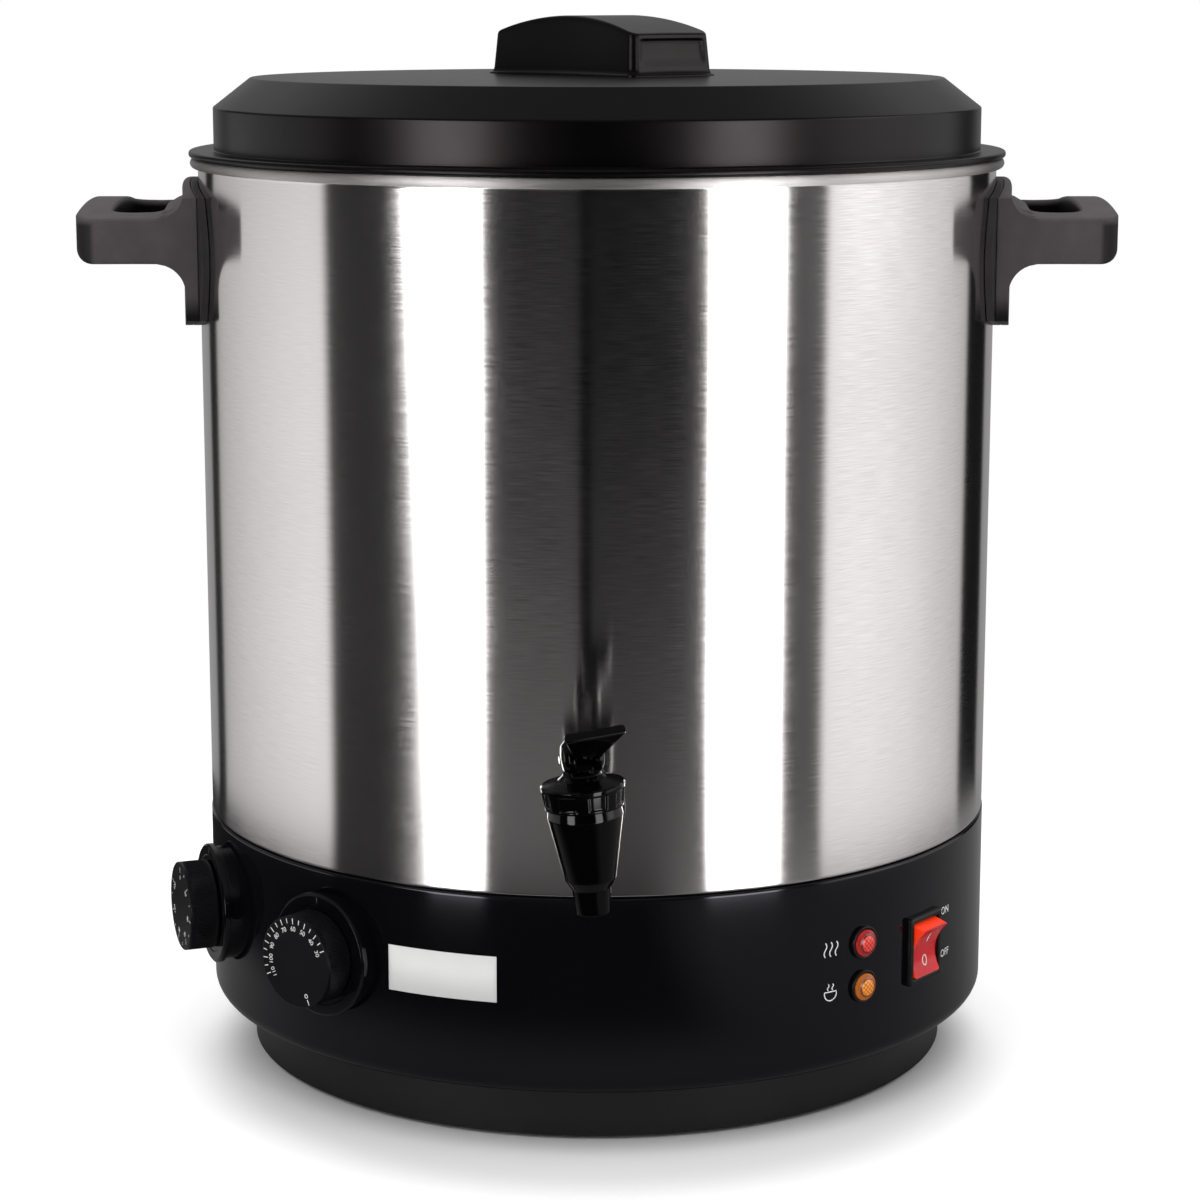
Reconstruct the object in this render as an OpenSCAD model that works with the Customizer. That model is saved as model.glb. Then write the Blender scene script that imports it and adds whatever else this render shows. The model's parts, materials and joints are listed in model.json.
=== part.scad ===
// Electric mulled wine kettle: a steel pot with a lid, two handles and a tap,
// standing on a black base that holds the heater and its controls.
// The origin is on the pot's axis at floor level, the front faces -Y, millimetres.

/* [Pot] */
// Outer diameter of the steel pot
pot_d = 360; // [330:1:400]
// Thickness of the steel sheet
sheet = 1; // [0.8:0.1:1.4]
// Height from the pot's foot to the top of its rolled rim
pot_h = 297; // [270:1:340]
// Thickness of the rolled rim
rim_d = 4.4; // [4:0.2:6]
// How far the rolled rim stands out from the wall
rim_out = 3.5; // [3.2:0.1:5]
// Height of the floor's underside above the foot
floor_rise = 6; // [6:0.5:10]
// Width of the in-turned foot
foot_w = 12; // [10:0.5:16]
// Height of the floor's downturned edge along the wall
floor_edge = 5; // [4:0.5:5]
// Gap of a welded seam
weld = 0.05; // [0.02:0.01:0.1]

/* [Base] */
// How far the housing stands out from the pot
base_lip = 0.4; // [0:0.1:2]
// Height of the housing's top edge above the floor
base_h = 112.4; // [108:0.2:125]
// Thickness of the moulded walls
base_wall = 3; // [2.5:0.1:4]
// Height of the plinth's top edge above the floor
plinth_h = 26; // [22:0.5:32]
// How far the plinth is set in from the housing
plinth_in = 18.4; // [12:0.2:24]
// Radius of the housing's rounded lower edge
base_round = 7; // [4:0.5:9]
// Width of the flange under the housing
flange_w = 40; // [36:1:46]
// Height of the rubber feet
foot_h = 2; // [1:0.5:4]
// Diameter of the rubber feet
foot_d = 22; // [16:1:28]
// How far the feet sit in from the plinth's edge
foot_in = 34; // [28:1:52]
// How far the base screws sit in from the housing's face
screw_in = 32.4; // [30.4:0.2:33.4]
// Depth of the central well in the pan
well_h = 10; // [10:0.5:13]
// Diameter of the central well
well_d = 44; // [36:1:60]

/* [Seat] */
// How far the seat ring lies below the housing's top edge
seat_drop = 1.4; // [0.8:0.1:1.6]
// Thickness of the seat ring
seat_t = 4; // [3:0.5:6]
// Width of the seat ring
seat_w = 29; // [20:1:36]
// Thickness of the gasket under the pot
gasket_t = 2; // [1.8:0.1:3]
// Width of the gasket
gasket_w = 9; // [6:0.5:9]
// Width of the ledge that carries the seat ring
ledge_w = 5; // [4:0.5:7]

/* [Heater] */
// Diameter of the heat spreader
spreader_d = 300; // [260:1:316]
// Thickness of the heat spreader
spreader_t = 2; // [1.5:0.5:3]
// Diameter of the heater's circle
heater_d = 230; // [200:1:250]
// Diameter of the heater's tube
heater_tube = 8; // [6:0.5:9]
// Opening angle between the heater's ends
heater_gap = 24; // [18:1:40]
// Thickness of the heat shield
shield_t = 1.2; // [0.8:0.1:1.6]
// Diameter of the tie rod
tie_d = 8; // [6:0.5:8]
// Height of the thermal cut-out
cutout_h = 6; // [4:0.5:7]

/* [Lid] */
// Gap between the rim and the lid's brim
lid_gap = 0.3; // [0.2:0.1:0.6]
// How far the brim stands out from the pot
brim_out = 4; // [2:0.5:6]
// Thickness of the brim
brim_t = 3; // [2.5:0.1:4]
// Thickness of the lid's shell
lid_t = 2.5; // [2:0.1:3.2]
// How far the lid's wall is set in from the pot
lid_in = 7.2; // [6:0.2:12]
// Height of the lid's upright wall
lid_wall_h = 18.9; // [12:0.1:26]
// Width of the lid's bevel
bevel_w = 16.8; // [10:0.2:24]
// Height of the lid's bevel
bevel_h = 13; // [8:0.2:18]
// Rise of the lid's top from the bevel to the middle
lid_rise = 1; // [1:0.5:6]
// Depth of the skirt inside the pot
skirt_h = 10; // [6:0.5:16]
// Clearance between the skirt and the pot's wall
skirt_gap = 2.5; // [1.5:0.1:3]

/* [Lid grip] */
// Length of the grip
grip_l = 98; // [88:1:104]
// Width of the grip
grip_w = 48; // [40:1:54]
// Height of the grip's ends
grip_end_h = 18; // [14:0.5:22]
// Rise of the grip's cambered top
grip_camber = 8.2; // [4:0.2:12]
// How far the long sides are scooped
grip_scoop = 2.5; // [1.5:0.1:4]
// Turn of the grip about the pot's axis
grip_turn = -49; // [-90:1:90]
// Distance between the two screws of the grip
grip_screws = 52; // [44:1:58]

/* [Handles] */
// How far the handles stand out from the pot
handle_reach = 50; // [47:0.5:59]
// Width of a handle
handle_w = 108; // [104:1:116]
// Height of the plate behind a handle
plate_h = 66; // [60:1:72]
// Distance of the plate's top below the rim
plate_drop = 10; // [8:0.5:16]
// Thickness of the plate at its sides
plate_t = 5.5; // [4:0.5:7]
// Swell of the plate's front from its sides to its middle
plate_swell = 5; // [4.5:0.1:6]
// Thickness of the heat spacer
spacer_t = 3.2; // [2.5:0.1:4]
// How far the heat spacer shows beside the plate
spacer_margin = 7; // [3:0.5:9]
// Height of the arm's underside above the plate's lower end
arm_rise = 31; // [28:0.5:34]
// Height of the arms
arm_h = 20; // [16:0.5:22]
// Crown of the handle's top
crown = 6; // [3:0.5:8]
// Thickness of the two arms
arm_w = 11; // [11:0.5:14]
// Thickness of the outer bar
bar_w = 15; // [12:0.5:18]
// Width of the finger gap
finger_gap = 23; // [21:0.5:25]
// Radius of the blend under the arms
under_blend = 13; // [8:0.5:15]
// Radius of the blend above the arms
over_blend = 12; // [8:0.5:14]
// Angle of the handle's screws to its middle
handle_screw_turn = 14; // [13.6:0.1:14.2]

/* [Dials] */
// Turn of the temperature dial about the pot's axis
temperature_turn = -39.8; // [-44:0.2:-34]
// Turn of the timer dial about the pot's axis
timer_turn = -69.5; // [-76:0.5:-66]
// Height of the dials above the floor
dial_z = 77; // [72:0.5:80]
// Diameter of the dial bosses
boss_d = 54; // [50:0.5:60]
// Height of the boss neck
neck_h = 4; // [3:0.2:6]
// Thickness of the dial bezels
bezel_t = 3; // [3:0.1:4]
// Diameter of the knobs
knob_d = 40; // [34:0.5:46]
// Height of the knobs
knob_h = 13; // [11:0.5:18]
// Gap between knob and bezel
knob_gap = 0.5; // [0.4:0.1:1]
// Diameter of the dial shafts
shaft_d = 6; // [5:0.5:7]
// Radial clearance of turning shafts
running = 0.05; // [0.03:0.01:0.1]

/* [Switch and lamps] */
// Turn of the switch about the pot's axis
switch_turn = 52.4; // [51:0.2:58]
// Height of the switch above the floor
switch_z = 70.4; // [66:0.2:76]
// Width of the switch's bezel
switch_w = 25.5; // [24.5:0.1:28]
// Height of the switch's bezel
switch_h = 31; // [30.5:0.1:34]
// How far the bezel stands out
switch_out = 2.4; // [1.8:0.1:3]
// Width of the rocker
rocker_w = 19; // [17:0.2:19]
// Height of the rocker
rocker_h = 24; // [22:0.2:24]
// Tilt of the rocker to either side
rocker_tilt = 10; // [7:0.5:11]
// Turn of the lamps about the pot's axis
lamp_turn = 39.4; // [34:0.2:40.6]
// Height of the lower lamp above the floor
lamp_z = 61.7; // [58:0.2:66]
// Distance between the lamps
lamp_pitch = 19.6; // [17:0.2:24]
// Diameter of the lamp lenses
lens_d = 11.8; // [11:0.1:14]
// Width of the lamp bezels
lamp_ring = 1.5; // [1:0.1:2.5]

/* [Tap] */
// Turn of the tap about the pot's axis
tap_turn = -1; // [-6:0.5:6]
// Height of the tap's shank above the pot's foot
tap_rise = 40; // [38:0.5:52]
// Distance of the tap's spout from the pot
tap_reach = 48; // [44:0.5:54]
// Lean of the tap to the left
tap_lean = 4.7; // [0:0.1:8]
// Turn of the lever about the spout
lever_turn = 13; // [-20:0.5:20]
// Diameter of the tap's shank
shank_d = 16; // [14:0.5:16]
// Diameter of the tap's stem
stem_d = 7; // [6:0.5:7.2]
// Diameter of the lever's ears
ear_d = 14; // [13:0.2:14.4]
// Offset of the ears from their pin
ear_offset = 4; // [3.4:0.1:4.2]
// Diameter of the lever's pin
pin_d = 3; // [2.6:0.1:3]
// Length of the lever from its pin
lever_l = 31; // [26:0.5:36]
// Width of the lever's tip
lever_w = 24.6; // [18:0.2:28]
// Thickness of the lever
lever_t = 3.4; // [3:0.1:4]
// Rise of the lever at rest
lever_rise = 28; // [24:0.5:34]
// Travel of the lever
lever_travel = 40; // [30:1:40]
// Gap between the lever's ears and the bonnet
cam_gap = 0.3; // [0.25:0.05:0.5]
// Gap between the seat and the tap's body
seat_gap = 0.3; // [0.2:0.05:0.5]

/* [Cord gland] */
// Height of the gland above the floor
gland_z = 60; // [54:1:70]
// Diameter of the gland's bore
gland_bore = 8.2; // [6.4:0.2:8.6]

/* [Hidden] */
$fn = 96;
eps = 0.01;
// How far a cutting shape runs past what it cuts
cut = 1;
// Clearance of a screw or a bush in its hole
hole_gap = 0.2;
// Clearance of a thread in its thread
thread_gap = 0.05;
// Gap between two pieces that lie on each other
lay_gap = 0.1;

// Levels above the floor and radii from the axis
pot_r = pot_d / 2;
pot_ri = pot_r - sheet;
base_r = pot_r + base_lip;
panel_cut_in = 4 * base_wall;
panel_cut = 7 * base_wall;
base_ri = base_r - base_wall;
plinth_r = base_r - plinth_in;
seat_z = base_h - seat_drop;
seat_low = seat_z - seat_t;
foot_z = seat_z + gasket_t;
floor_z = foot_z + floor_rise;
rim_z = foot_z + pot_h;
floor_bend = 3.5;
lid_z = rim_z + lid_gap;
pan_top = foot_h + base_wall;
seat_clear = 0.5;
seat_r = base_ri - seat_clear;

// Screws, feet and tie rod of the base
foot_ring = plinth_r - foot_in;
screw_ring = base_r - screw_in;
screw_boss_d = 13;
screw_boss_h = 20;
screw_d = 4;
screw_post_d = 13;
head_pocket = 6;
foot_stem_d = 8;
plug_flange = 3;
plug_wall = 3;
plug_in = 7;
tie_low = foot_h + 2;
tie_washer_t = 1.4;
tie_washer_w = 5.5;
tie_nut_h = 6;
tie_nut_w = 7;
tie_head_d = 28;
tie_head_t = 3;

// Heater and what is fixed under the heat spreader
spread_z = floor_z - spreader_t;
heater_z = spread_z - heater_tube / 2 - weld;
heater_pin_d = 5;
heater_pin_l = 18;
shield_z = seat_low - shield_t;
shield_clear = 1.5;
shield_r = base_ri - ledge_w - shield_clear;
cutout_place = [60, 40];
cutout_d = 16;
bulb_d = 6;
bulb_l = 64;
bulb_y = -60;
bulb_z = spread_z - bulb_d / 2 - weld;

// Lid
lid_wall_r = pot_r - lid_in;
lid_top_r = lid_wall_r - bevel_w;
lid_wall_top = brim_t + lid_wall_h;
lid_bevel_top = lid_wall_top + bevel_h;
lid_top = lid_bevel_top + lid_rise;
lid_flat_r = grip_l / 2 + 8;
skirt_r = pot_ri - skirt_gap;
grip_z = lid_z + lid_top;
grip_foot_h = 2;
grip_foot_out = 2;
grip_corner = 6;
grip_h = grip_end_h + grip_camber;
grip_camber_r = grip_l * grip_l / (8 * grip_camber) + grip_camber / 2;
grip_scoop_r = grip_l * grip_l / (8 * grip_scoop) + grip_scoop / 2;
grip_screw_d = 5;
grip_screw_in = 10;

// Handles
spacer_ri = pot_r + hole_gap;
spacer_ro = spacer_ri + spacer_t;
plate_ri = spacer_ro + hole_gap;
plate_x = sqrt(pow(plate_ri + plate_t, 2) - handle_w * handle_w / 4);
plate_swell_r = handle_w * handle_w / (8 * plate_swell) + plate_swell / 2;
plate_top = rim_z - plate_drop;
plate_low = plate_top - plate_h;
arm_low = plate_low + arm_rise;
arm_top = arm_low + arm_h;
handle_x = pot_r + handle_reach;
hole_x2 = handle_x - bar_w;
hole_x1 = hole_x2 - finger_gap;
hole_y = handle_w / 2 - arm_w;
crown_r = handle_w * handle_w / (8 * crown) + crown / 2;
handle_corner = 9;
handle_screw_d = 5;
handle_screw_in = 12;
handle_screw_z = arm_low + arm_h / 2;
screw_head_d = 9.2;
screw_head_h = 3;

// Dials
dials = [temperature_turn, timer_turn];
boss_r = boss_d / 2;
neck_in = 1.5;
boss_sag = base_r - sqrt(base_r * base_r - boss_r * boss_r);
pad_over = 0.5;
pad_z = -(base_wall + boss_sag + pad_over);
bezel_z = neck_h + bezel_t;
knob_z = bezel_z + knob_gap;
bush_d = 10;
bush_out = 1.2;
bush_top = bezel_z + bush_out;
dial_nut_d = 16;
dial_nut_t = 2.8;
shaft_in = 6;
shaft_low = pad_z - shaft_in;
knob_face = 3;
shaft_top = knob_z + knob_h - knob_face;
thermostat_size = [34, 30, 22];
timer_size = [40, 40, 26];

// Switch and lamps
switch_rim = [1.75, 1.5];
switch_body_w = switch_w - 2 * switch_rim[0];
switch_body_h = switch_h - 2 * switch_rim[1];
switch_depth = 24;
switch_pocket = 10;
rocker_gap = 0.5;
rocker_pivot_z = -1;
rocker_pin_d = 3;
rocker_edge = 5;
rocker_dish = 2.5;
blade = [6.3, 0.8, 8];
blade_x = 8;
terminal_x = 5;
terminal_y = 8;
lens_out = 4;
lamp_body_d = 10;
lamp_depth = 18;
lamp_ring_h = 1.6;
lamp_pin = [0.8, 2.8, 6];
lamp_pin_x = 2.5;

// Tap, heights from the shank's axis
tap_z = foot_z + tap_rise;
nozzle_low = -32;
nozzle_top = -21.6;
cone_low = -17.7;
seat_face = -16;
cone_top = 9;
neck_top = 17;
bonnet_roof = neck_top + 2;
bonnet_edge = 21.4;
collar_low = 24;
cam_phase = lever_travel / 2;
ear_x = 4.2;
ear_t = 4.5;
head_w = 7.6;
collar_top = 26;
head_low = collar_top + 1;
seat_low_z = seat_face + seat_gap;
seat_h = 6;
seat_top_z = seat_low_z + seat_h;
stem_in = 3;
stem_low = seat_low_z + stem_in;
pin_z = collar_top + cam_gap + ear_d / 2 - ear_offset * sin(cam_phase);
nozzle_r = 7;
nozzle_bore = 5.2;
cone_r1 = 10.4;
cone_r2 = 15.4;
chamber_r = 11;
bonnet_neck_r = 13;
bonnet_r = 17;
collar_r = 9.3;
washer_d = 30;
washer_t = 3;
tap_flange_t = 4;
washer_sag = pot_ri - sqrt(pot_ri * pot_ri - washer_d * washer_d / 4);
inner_washer_y = tap_reach + sheet + washer_sag + lay_gap;
lock_nut_d = 31;
lock_nut_t = 8;
shank_over = 3;
shank_end = inner_washer_y + washer_t + lock_nut_t + shank_over;

// Gland
gland_d = 14;
gland_flange_d = 20;
gland_flange_t = 4;
gland_nut_d = 22;
gland_nut_t = 6;
gland_nut_r = gland_nut_d / 2;
gland_nut_top = -(base_r - sqrt(base_ri * base_ri - gland_nut_r * gland_nut_r)) - lay_gap;
gland_over = 3;

// Terminal block on the pan
block_size = [50, 22, 15];
block_in = 58;
block_y = plinth_r - block_in;
block_pitch = 8;
wire_d = 2.8;
wire_lead = base_r / 3;
wire_gap = 0.3;

// Points on an arc about c, from angle a to angle b
function arc(c, r, a, b, n = 8) =
    [for (i = [0:n]) c + r * [cos(a + (b - a) * i / n), sin(a + (b - a) * i / n)]];

function unit(v) = v / norm(v);

// World place of a point given in a panel's own frame
function panel_point(turn, z, p) =
    let (y = -base_r - p[2])
    [p[0] * cos(turn) - y * sin(turn), p[0] * sin(turn) + y * cos(turn), z + p[1]];

// A side direction carried along a path without twist
function carry(dirs, side, i = 0) =
    i == len(dirs) ? [] :
    let (s = unit(side - (side * dirs[i]) * dirs[i]))
    concat([s], carry(dirs, s, i + 1));

function bezier(a, b, c, d, t) =
    pow(1 - t, 3) * a + 3 * t * pow(1 - t, 2) * b + 3 * t * t * (1 - t) * c + pow(t, 3) * d;

// A closed tube swept along the points of a path
module tube(path, d, sides = 8) {
    n = len(path);
    dirs = [for (i = [0:n - 1]) unit(path[min(i + 1, n - 1)] - path[max(i - 1, 0)])];
    across = carry(dirs, cross(dirs[0], abs(dirs[0][2]) > 0.9 ? [1, 0, 0] : [0, 0, 1]));
    points = [for (i = [0:n - 1]) for (k = [0:sides - 1])
        path[i] + d / 2 * (cos(360 * k / sides) * across[i]
            + sin(360 * k / sides) * cross(dirs[i], across[i]))];
    sleeve = [for (i = [0:n - 2]) for (k = [0:sides - 1])
        let (a = i * sides + k, b = i * sides + (k + 1) % sides)
        each [[a, b, a + sides], [b, b + sides, a + sides]]];
    ends = [[for (k = [0:sides - 1]) sides - 1 - k],
        [for (k = [0:sides - 1]) (n - 1) * sides + k]];
    polyhedron(points, concat([for (f = sleeve) [f[0], f[2], f[1]]],
        [for (f = ends) [for (k = [len(f) - 1:-1:0]) f[k]]]));
}

module ring(r1, r2, z1, z2) {
    translate([0, 0, z1])
        difference() {
            cylinder(r = r2, h = z2 - z1);
            translate([0, 0, -cut])
                cylinder(r = r1, h = z2 - z1 + 2 * cut);
        }
}

module box(size, z) {
    translate([-size[0] / 2, -size[1] / 2, z])
        cube(size);
}

// Frame on the housing's wall: x along it, y up, z outward
module panel(turn, z) {
    rotate([0, 0, turn])
        translate([0, -base_r, z])
            rotate([90, 0, 0])
                children();
}

// Frame of the tap: origin on the shank's axis, z along the spout, y toward the pot
module tap_frame() {
    rotate([0, 0, tap_turn])
        translate([0, -pot_r - tap_reach, tap_z])
            rotate([0, -tap_lean, 0])
                children();
}

// Frame of the lever: origin on its pin
module lever_frame() {
    tap_frame()
        rotate([0, 0, lever_turn])
            translate([0, 0, pin_z])
                children();
}

module along_y(y1, y2, r) {
    translate([0, y2, 0])
        rotate([90, 0, 0])
            cylinder(r = r, h = y2 - y1);
}

module along_x(x1, x2, r) {
    translate([x1, 0, 0])
        rotate([0, 90, 0])
            cylinder(r = r, h = x2 - x1);
}

module at_handle_screws(sides) {
    for (side = sides)
        for (turn = [-handle_screw_turn, handle_screw_turn])
            rotate([0, 0, side + turn])
                translate([0, 0, handle_screw_z])
                    children();
}

module at_quarters(r) {
    for (turn = [45:90:315])
        rotate([0, 0, turn])
            translate([r, 0, 0])
                children();
}

// Pot

module pot_shell() {
    color("silver")
        difference() {
            union() {
                ring(pot_ri, pot_r, foot_z, rim_z - rim_d / 2);
                ring(pot_r - foot_w - sheet, pot_r, foot_z, foot_z + sheet);
                translate([0, 0, rim_z - rim_d / 2])
                    rotate_extrude()
                        translate([pot_r + rim_out - rim_d / 2, 0])
                            circle(d = rim_d);
            }
            at_handle_screws([0, 180])
                along_x(pot_r - 10, pot_r + 10, handle_screw_d / 2 + hole_gap);
            tap_frame()
                along_y(tap_reach - 4, tap_reach + 8, shank_d / 2 + hole_gap);
        }
}

module pot_floor() {
    outer = pot_ri - weld;
    color("silver")
        translate([0, 0, floor_z + sheet])
            rotate_extrude()
                polygon(concat([[0, 0], [0, -sheet]],
                    arc([outer - floor_bend, -floor_bend], floor_bend - sheet, 90, 0),
                    [[outer - sheet, -floor_edge], [outer, -floor_edge]],
                    arc([outer - floor_bend, -floor_bend], floor_bend, 0, 90)));
}

// Lid

module lid_shell() {
    dome = lid_top_r - lid_flat_r;
    steps = 8;
    outer = [for (i = [0:steps]) let (t = i / steps)
        [lid_top_r - dome * t, lid_bevel_top + lid_rise * sin(90 * t)]];
    inner = [for (i = [steps:-1:0]) let (t = i / steps)
        [lid_top_r - lid_t / 2 - (dome - lid_t / 2) * t,
            lid_bevel_top + lid_rise * sin(90 * t) - lid_t]];
    brim_r = pot_r + brim_out;
    color("#262628")
        difference() {
            translate([0, 0, lid_z])
                rotate_extrude()
                    polygon(concat([[brim_r - brim_t / 2, 0]],
                        arc([brim_r - brim_t / 2, brim_t / 2], brim_t / 2, -90, 90),
                        [[lid_wall_r, brim_t], [lid_wall_r, lid_wall_top]],
                        outer, [[0, lid_top], [0, lid_top - lid_t]], inner,
                        [[lid_wall_r - lid_t, lid_wall_top - lid_t / 2],
                            [lid_wall_r - lid_t, 0]]));
            at_grip_screws()
                translate([0, 0, -lid_t - cut])
                    cylinder(d = grip_screw_d + 2 * hole_gap, h = lid_t + 2 * cut);
        }
}

module lid_skirt() {
    color("#1d1d1f")
        ring(skirt_r - lid_t, skirt_r, lid_z - skirt_h, lid_z - weld);
}

module at_grip_screws() {
    for (x = [-grip_screws / 2, grip_screws / 2])
        translate([0, 0, grip_z])
            rotate([0, 0, grip_turn])
                translate([x, 0, 0])
                    children();
}

// Outline of the grip: round corners and scooped long sides
module grip_plan(out) {
    l = grip_l / 2 + out - grip_corner;
    w = grip_w / 2 + out - grip_corner;
    difference() {
        polygon(concat(arc([l, w], grip_corner, 0, 90), arc([-l, w], grip_corner, 90, 180),
            arc([-l, -w], grip_corner, 180, 270), arc([l, -w], grip_corner, 270, 360)));
        for (side = [-1, 1])
            translate([0, side * (grip_w / 2 + out - grip_scoop + grip_scoop_r)])
                circle(r = grip_scoop_r, $fn = 360);
    }
}

module lid_grip() {
    color("#232325")
        difference() {
            translate([0, 0, grip_z])
                rotate([0, 0, grip_turn])
                    union() {
                        linear_extrude(grip_foot_h)
                            grip_plan(grip_foot_out);
                        intersection() {
                            linear_extrude(grip_h + 1)
                                grip_plan(0);
                            translate([0, 0, grip_h - grip_camber_r])
                                along_y(-grip_w, grip_w, grip_camber_r);
                        }
                    }
            at_grip_screws()
                translate([0, 0, -cut])
                    cylinder(d = grip_screw_d + 2 * thread_gap, h = grip_screw_in + 2 * cut);
        }
}

module lid_grip_screws() {
    color("silver")
        at_grip_screws()
            union() {
                translate([0, 0, -lid_t - screw_head_h])
                    cylinder(d = screw_head_d, h = screw_head_h);
                translate([0, 0, -lid_t - eps])
                    cylinder(d = grip_screw_d, h = lid_t + grip_screw_in);
            }
}

// Handles

// Outline of the plate, crowned at both ends; the sides bulge outward in the middle
module plate_prism(bulge) {
    n = bulge > 0 ? 24 : 1;
    side = [for (i = [0:n]) [handle_w / 2 + bulge * sin(180 * i / n), plate_low + plate_h * i / n]];
    intersection() {
        translate([pot_r / 2, 0, 0])
            rotate([90, 0, 90])
                linear_extrude(pot_r)
                    polygon(concat(side, [for (i = [n:-1:0]) [-side[i][0], side[i][1]]]));
        translate([0, 0, plate_top - crown_r])
            along_x(pot_r / 4, 2 * pot_r, crown_r);
        translate([0, 0, plate_low + crown_r])
            along_x(pot_r / 4, 2 * pot_r, crown_r);
    }
}

module handle_plate() {
    blend_low = arm_low - under_blend;
    blend_top = arm_top + over_blend;
    profile = concat(
        [[pot_r / 2, blend_low], [plate_x, blend_low]],
        arc([plate_x + under_blend, blend_low], under_blend, 180, 90),
        [[plate_x + under_blend, arm_top]],
        arc([plate_x + over_blend, blend_top], over_blend, 270, 180),
        [[pot_r / 2, blend_top]]);
    intersection() {
        union() {
            rotate([90, 0, 0])
                linear_extrude(handle_w, center = true)
                    polygon(profile);
            translate([plate_x + plate_swell - plate_swell_r, 0, plate_low])
                cylinder(r = plate_swell_r, h = plate_h, $fn = 360);
        }
        plate_prism(0);
    }
}

module handle_loop() {
    w = handle_w / 2 - handle_corner;
    x = handle_x - handle_corner;
    intersection() {
        translate([0, 0, arm_low])
            linear_extrude(arm_h + crown)
                polygon(concat([[pot_r / 2, -handle_w / 2]],
                    arc([x, -w], handle_corner, -90, 0), arc([x, w], handle_corner, 0, 90),
                    [[pot_r / 2, handle_w / 2]]));
        translate([0, 0, arm_top + crown - crown_r])
            along_x(pot_r / 2, handle_x + 1, crown_r);
    }
}

module handle() {
    r = 8;
    x1 = hole_x1 + r;
    x2 = hole_x2 - r;
    y = hole_y - r;
    color("#2b2b2d")
        difference() {
            union() {
                handle_plate();
                handle_loop();
            }
            translate([0, 0, plate_low - cut])
                cylinder(r = plate_ri, h = plate_h + 2 * cut);
            translate([0, 0, plate_low - cut])
                linear_extrude(plate_h + 2 * cut)
                    polygon(concat(arc([x2, y], r, 0, 90), arc([x1, y], r, 90, 180),
                        arc([x1, -y], r, 180, 270), arc([x2, -y], r, 270, 360)));
            at_handle_screws([0])
                along_x(pot_r, plate_ri + handle_screw_in + 1, handle_screw_d / 2 + thread_gap);
        }
}

module handle_right() {
    handle();
}

module handle_left() {
    mirror([1, 0, 0])
        handle();
}

module spacer() {
    color("#1d1d1f")
        difference() {
            intersection() {
                ring(spacer_ri, spacer_ro, plate_low, plate_top);
                plate_prism(spacer_margin);
            }
            at_handle_screws([0])
                along_x(pot_r - 10, pot_r + 10, handle_screw_d / 2 + hole_gap);
        }
}

module handle_spacer_right() {
    spacer();
}

module handle_spacer_left() {
    mirror([1, 0, 0])
        spacer();
}

module handle_screws() {
    head_r = screw_head_d / 2;
    under = sqrt(pot_ri * pot_ri - head_r * head_r) - weld;
    color("silver")
        at_handle_screws([0, 180]) {
            along_x(under - screw_head_h, under, head_r);
            along_x(under - eps, plate_ri + handle_screw_in, handle_screw_d / 2);
        }
}

// Base

module housing_profile() {
    lip = 1;
    polygon(concat(
        arc([base_r - lip, base_h - lip], lip, 90, 0, 4),
        arc([base_r - base_round, plinth_h + base_round], base_round, 0, -90),
        [[base_r - flange_w, plinth_h], [base_r - flange_w, plinth_h + base_wall],
            [base_ri - 2, plinth_h + base_wall], [base_ri, plinth_h + base_wall + 2],
            [base_ri, seat_low - ledge_w], [base_ri - ledge_w, seat_low - 2],
            [base_ri - ledge_w, seat_low], [base_ri, seat_low], [base_ri, base_h]]));
}

module base_housing() {
    color("#0d0d0e")
        difference() {
            union() {
                rotate_extrude()
                    housing_profile();
                for (turn = dials)
                    panel(turn, dial_z)
                        translate([0, 0, pad_z])
                            cylinder(d = boss_d - 2 * neck_in, h = neck_h - pad_z);
                at_quarters(screw_ring)
                    translate([0, 0, plinth_h])
                        cylinder(d = screw_boss_d, h = screw_boss_h);
            }
            for (turn = dials)
                panel(turn, dial_z)
                    translate([0, 0, pad_z - cut])
                        cylinder(d = bush_d + 2 * hole_gap, h = neck_h - pad_z + 2 * cut);
            panel(switch_turn, switch_z)
                box([switch_body_w + 2 * hole_gap, switch_body_h + 2 * hole_gap, panel_cut], -panel_cut_in);
            for (i = [0, 1])
                panel(lamp_turn, lamp_z + i * lamp_pitch)
                    translate([0, 0, -panel_cut_in])
                        cylinder(d = lamp_body_d + 2 * hole_gap, h = panel_cut);
            panel(180, gland_z)
                translate([0, 0, -panel_cut_in])
                    cylinder(d = gland_d + 2 * hole_gap, h = panel_cut);
            at_quarters(screw_ring)
                translate([0, 0, plinth_h - cut])
                    cylinder(d = screw_d + 2 * thread_gap, h = screw_boss_h - 1);
        }
}

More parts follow.
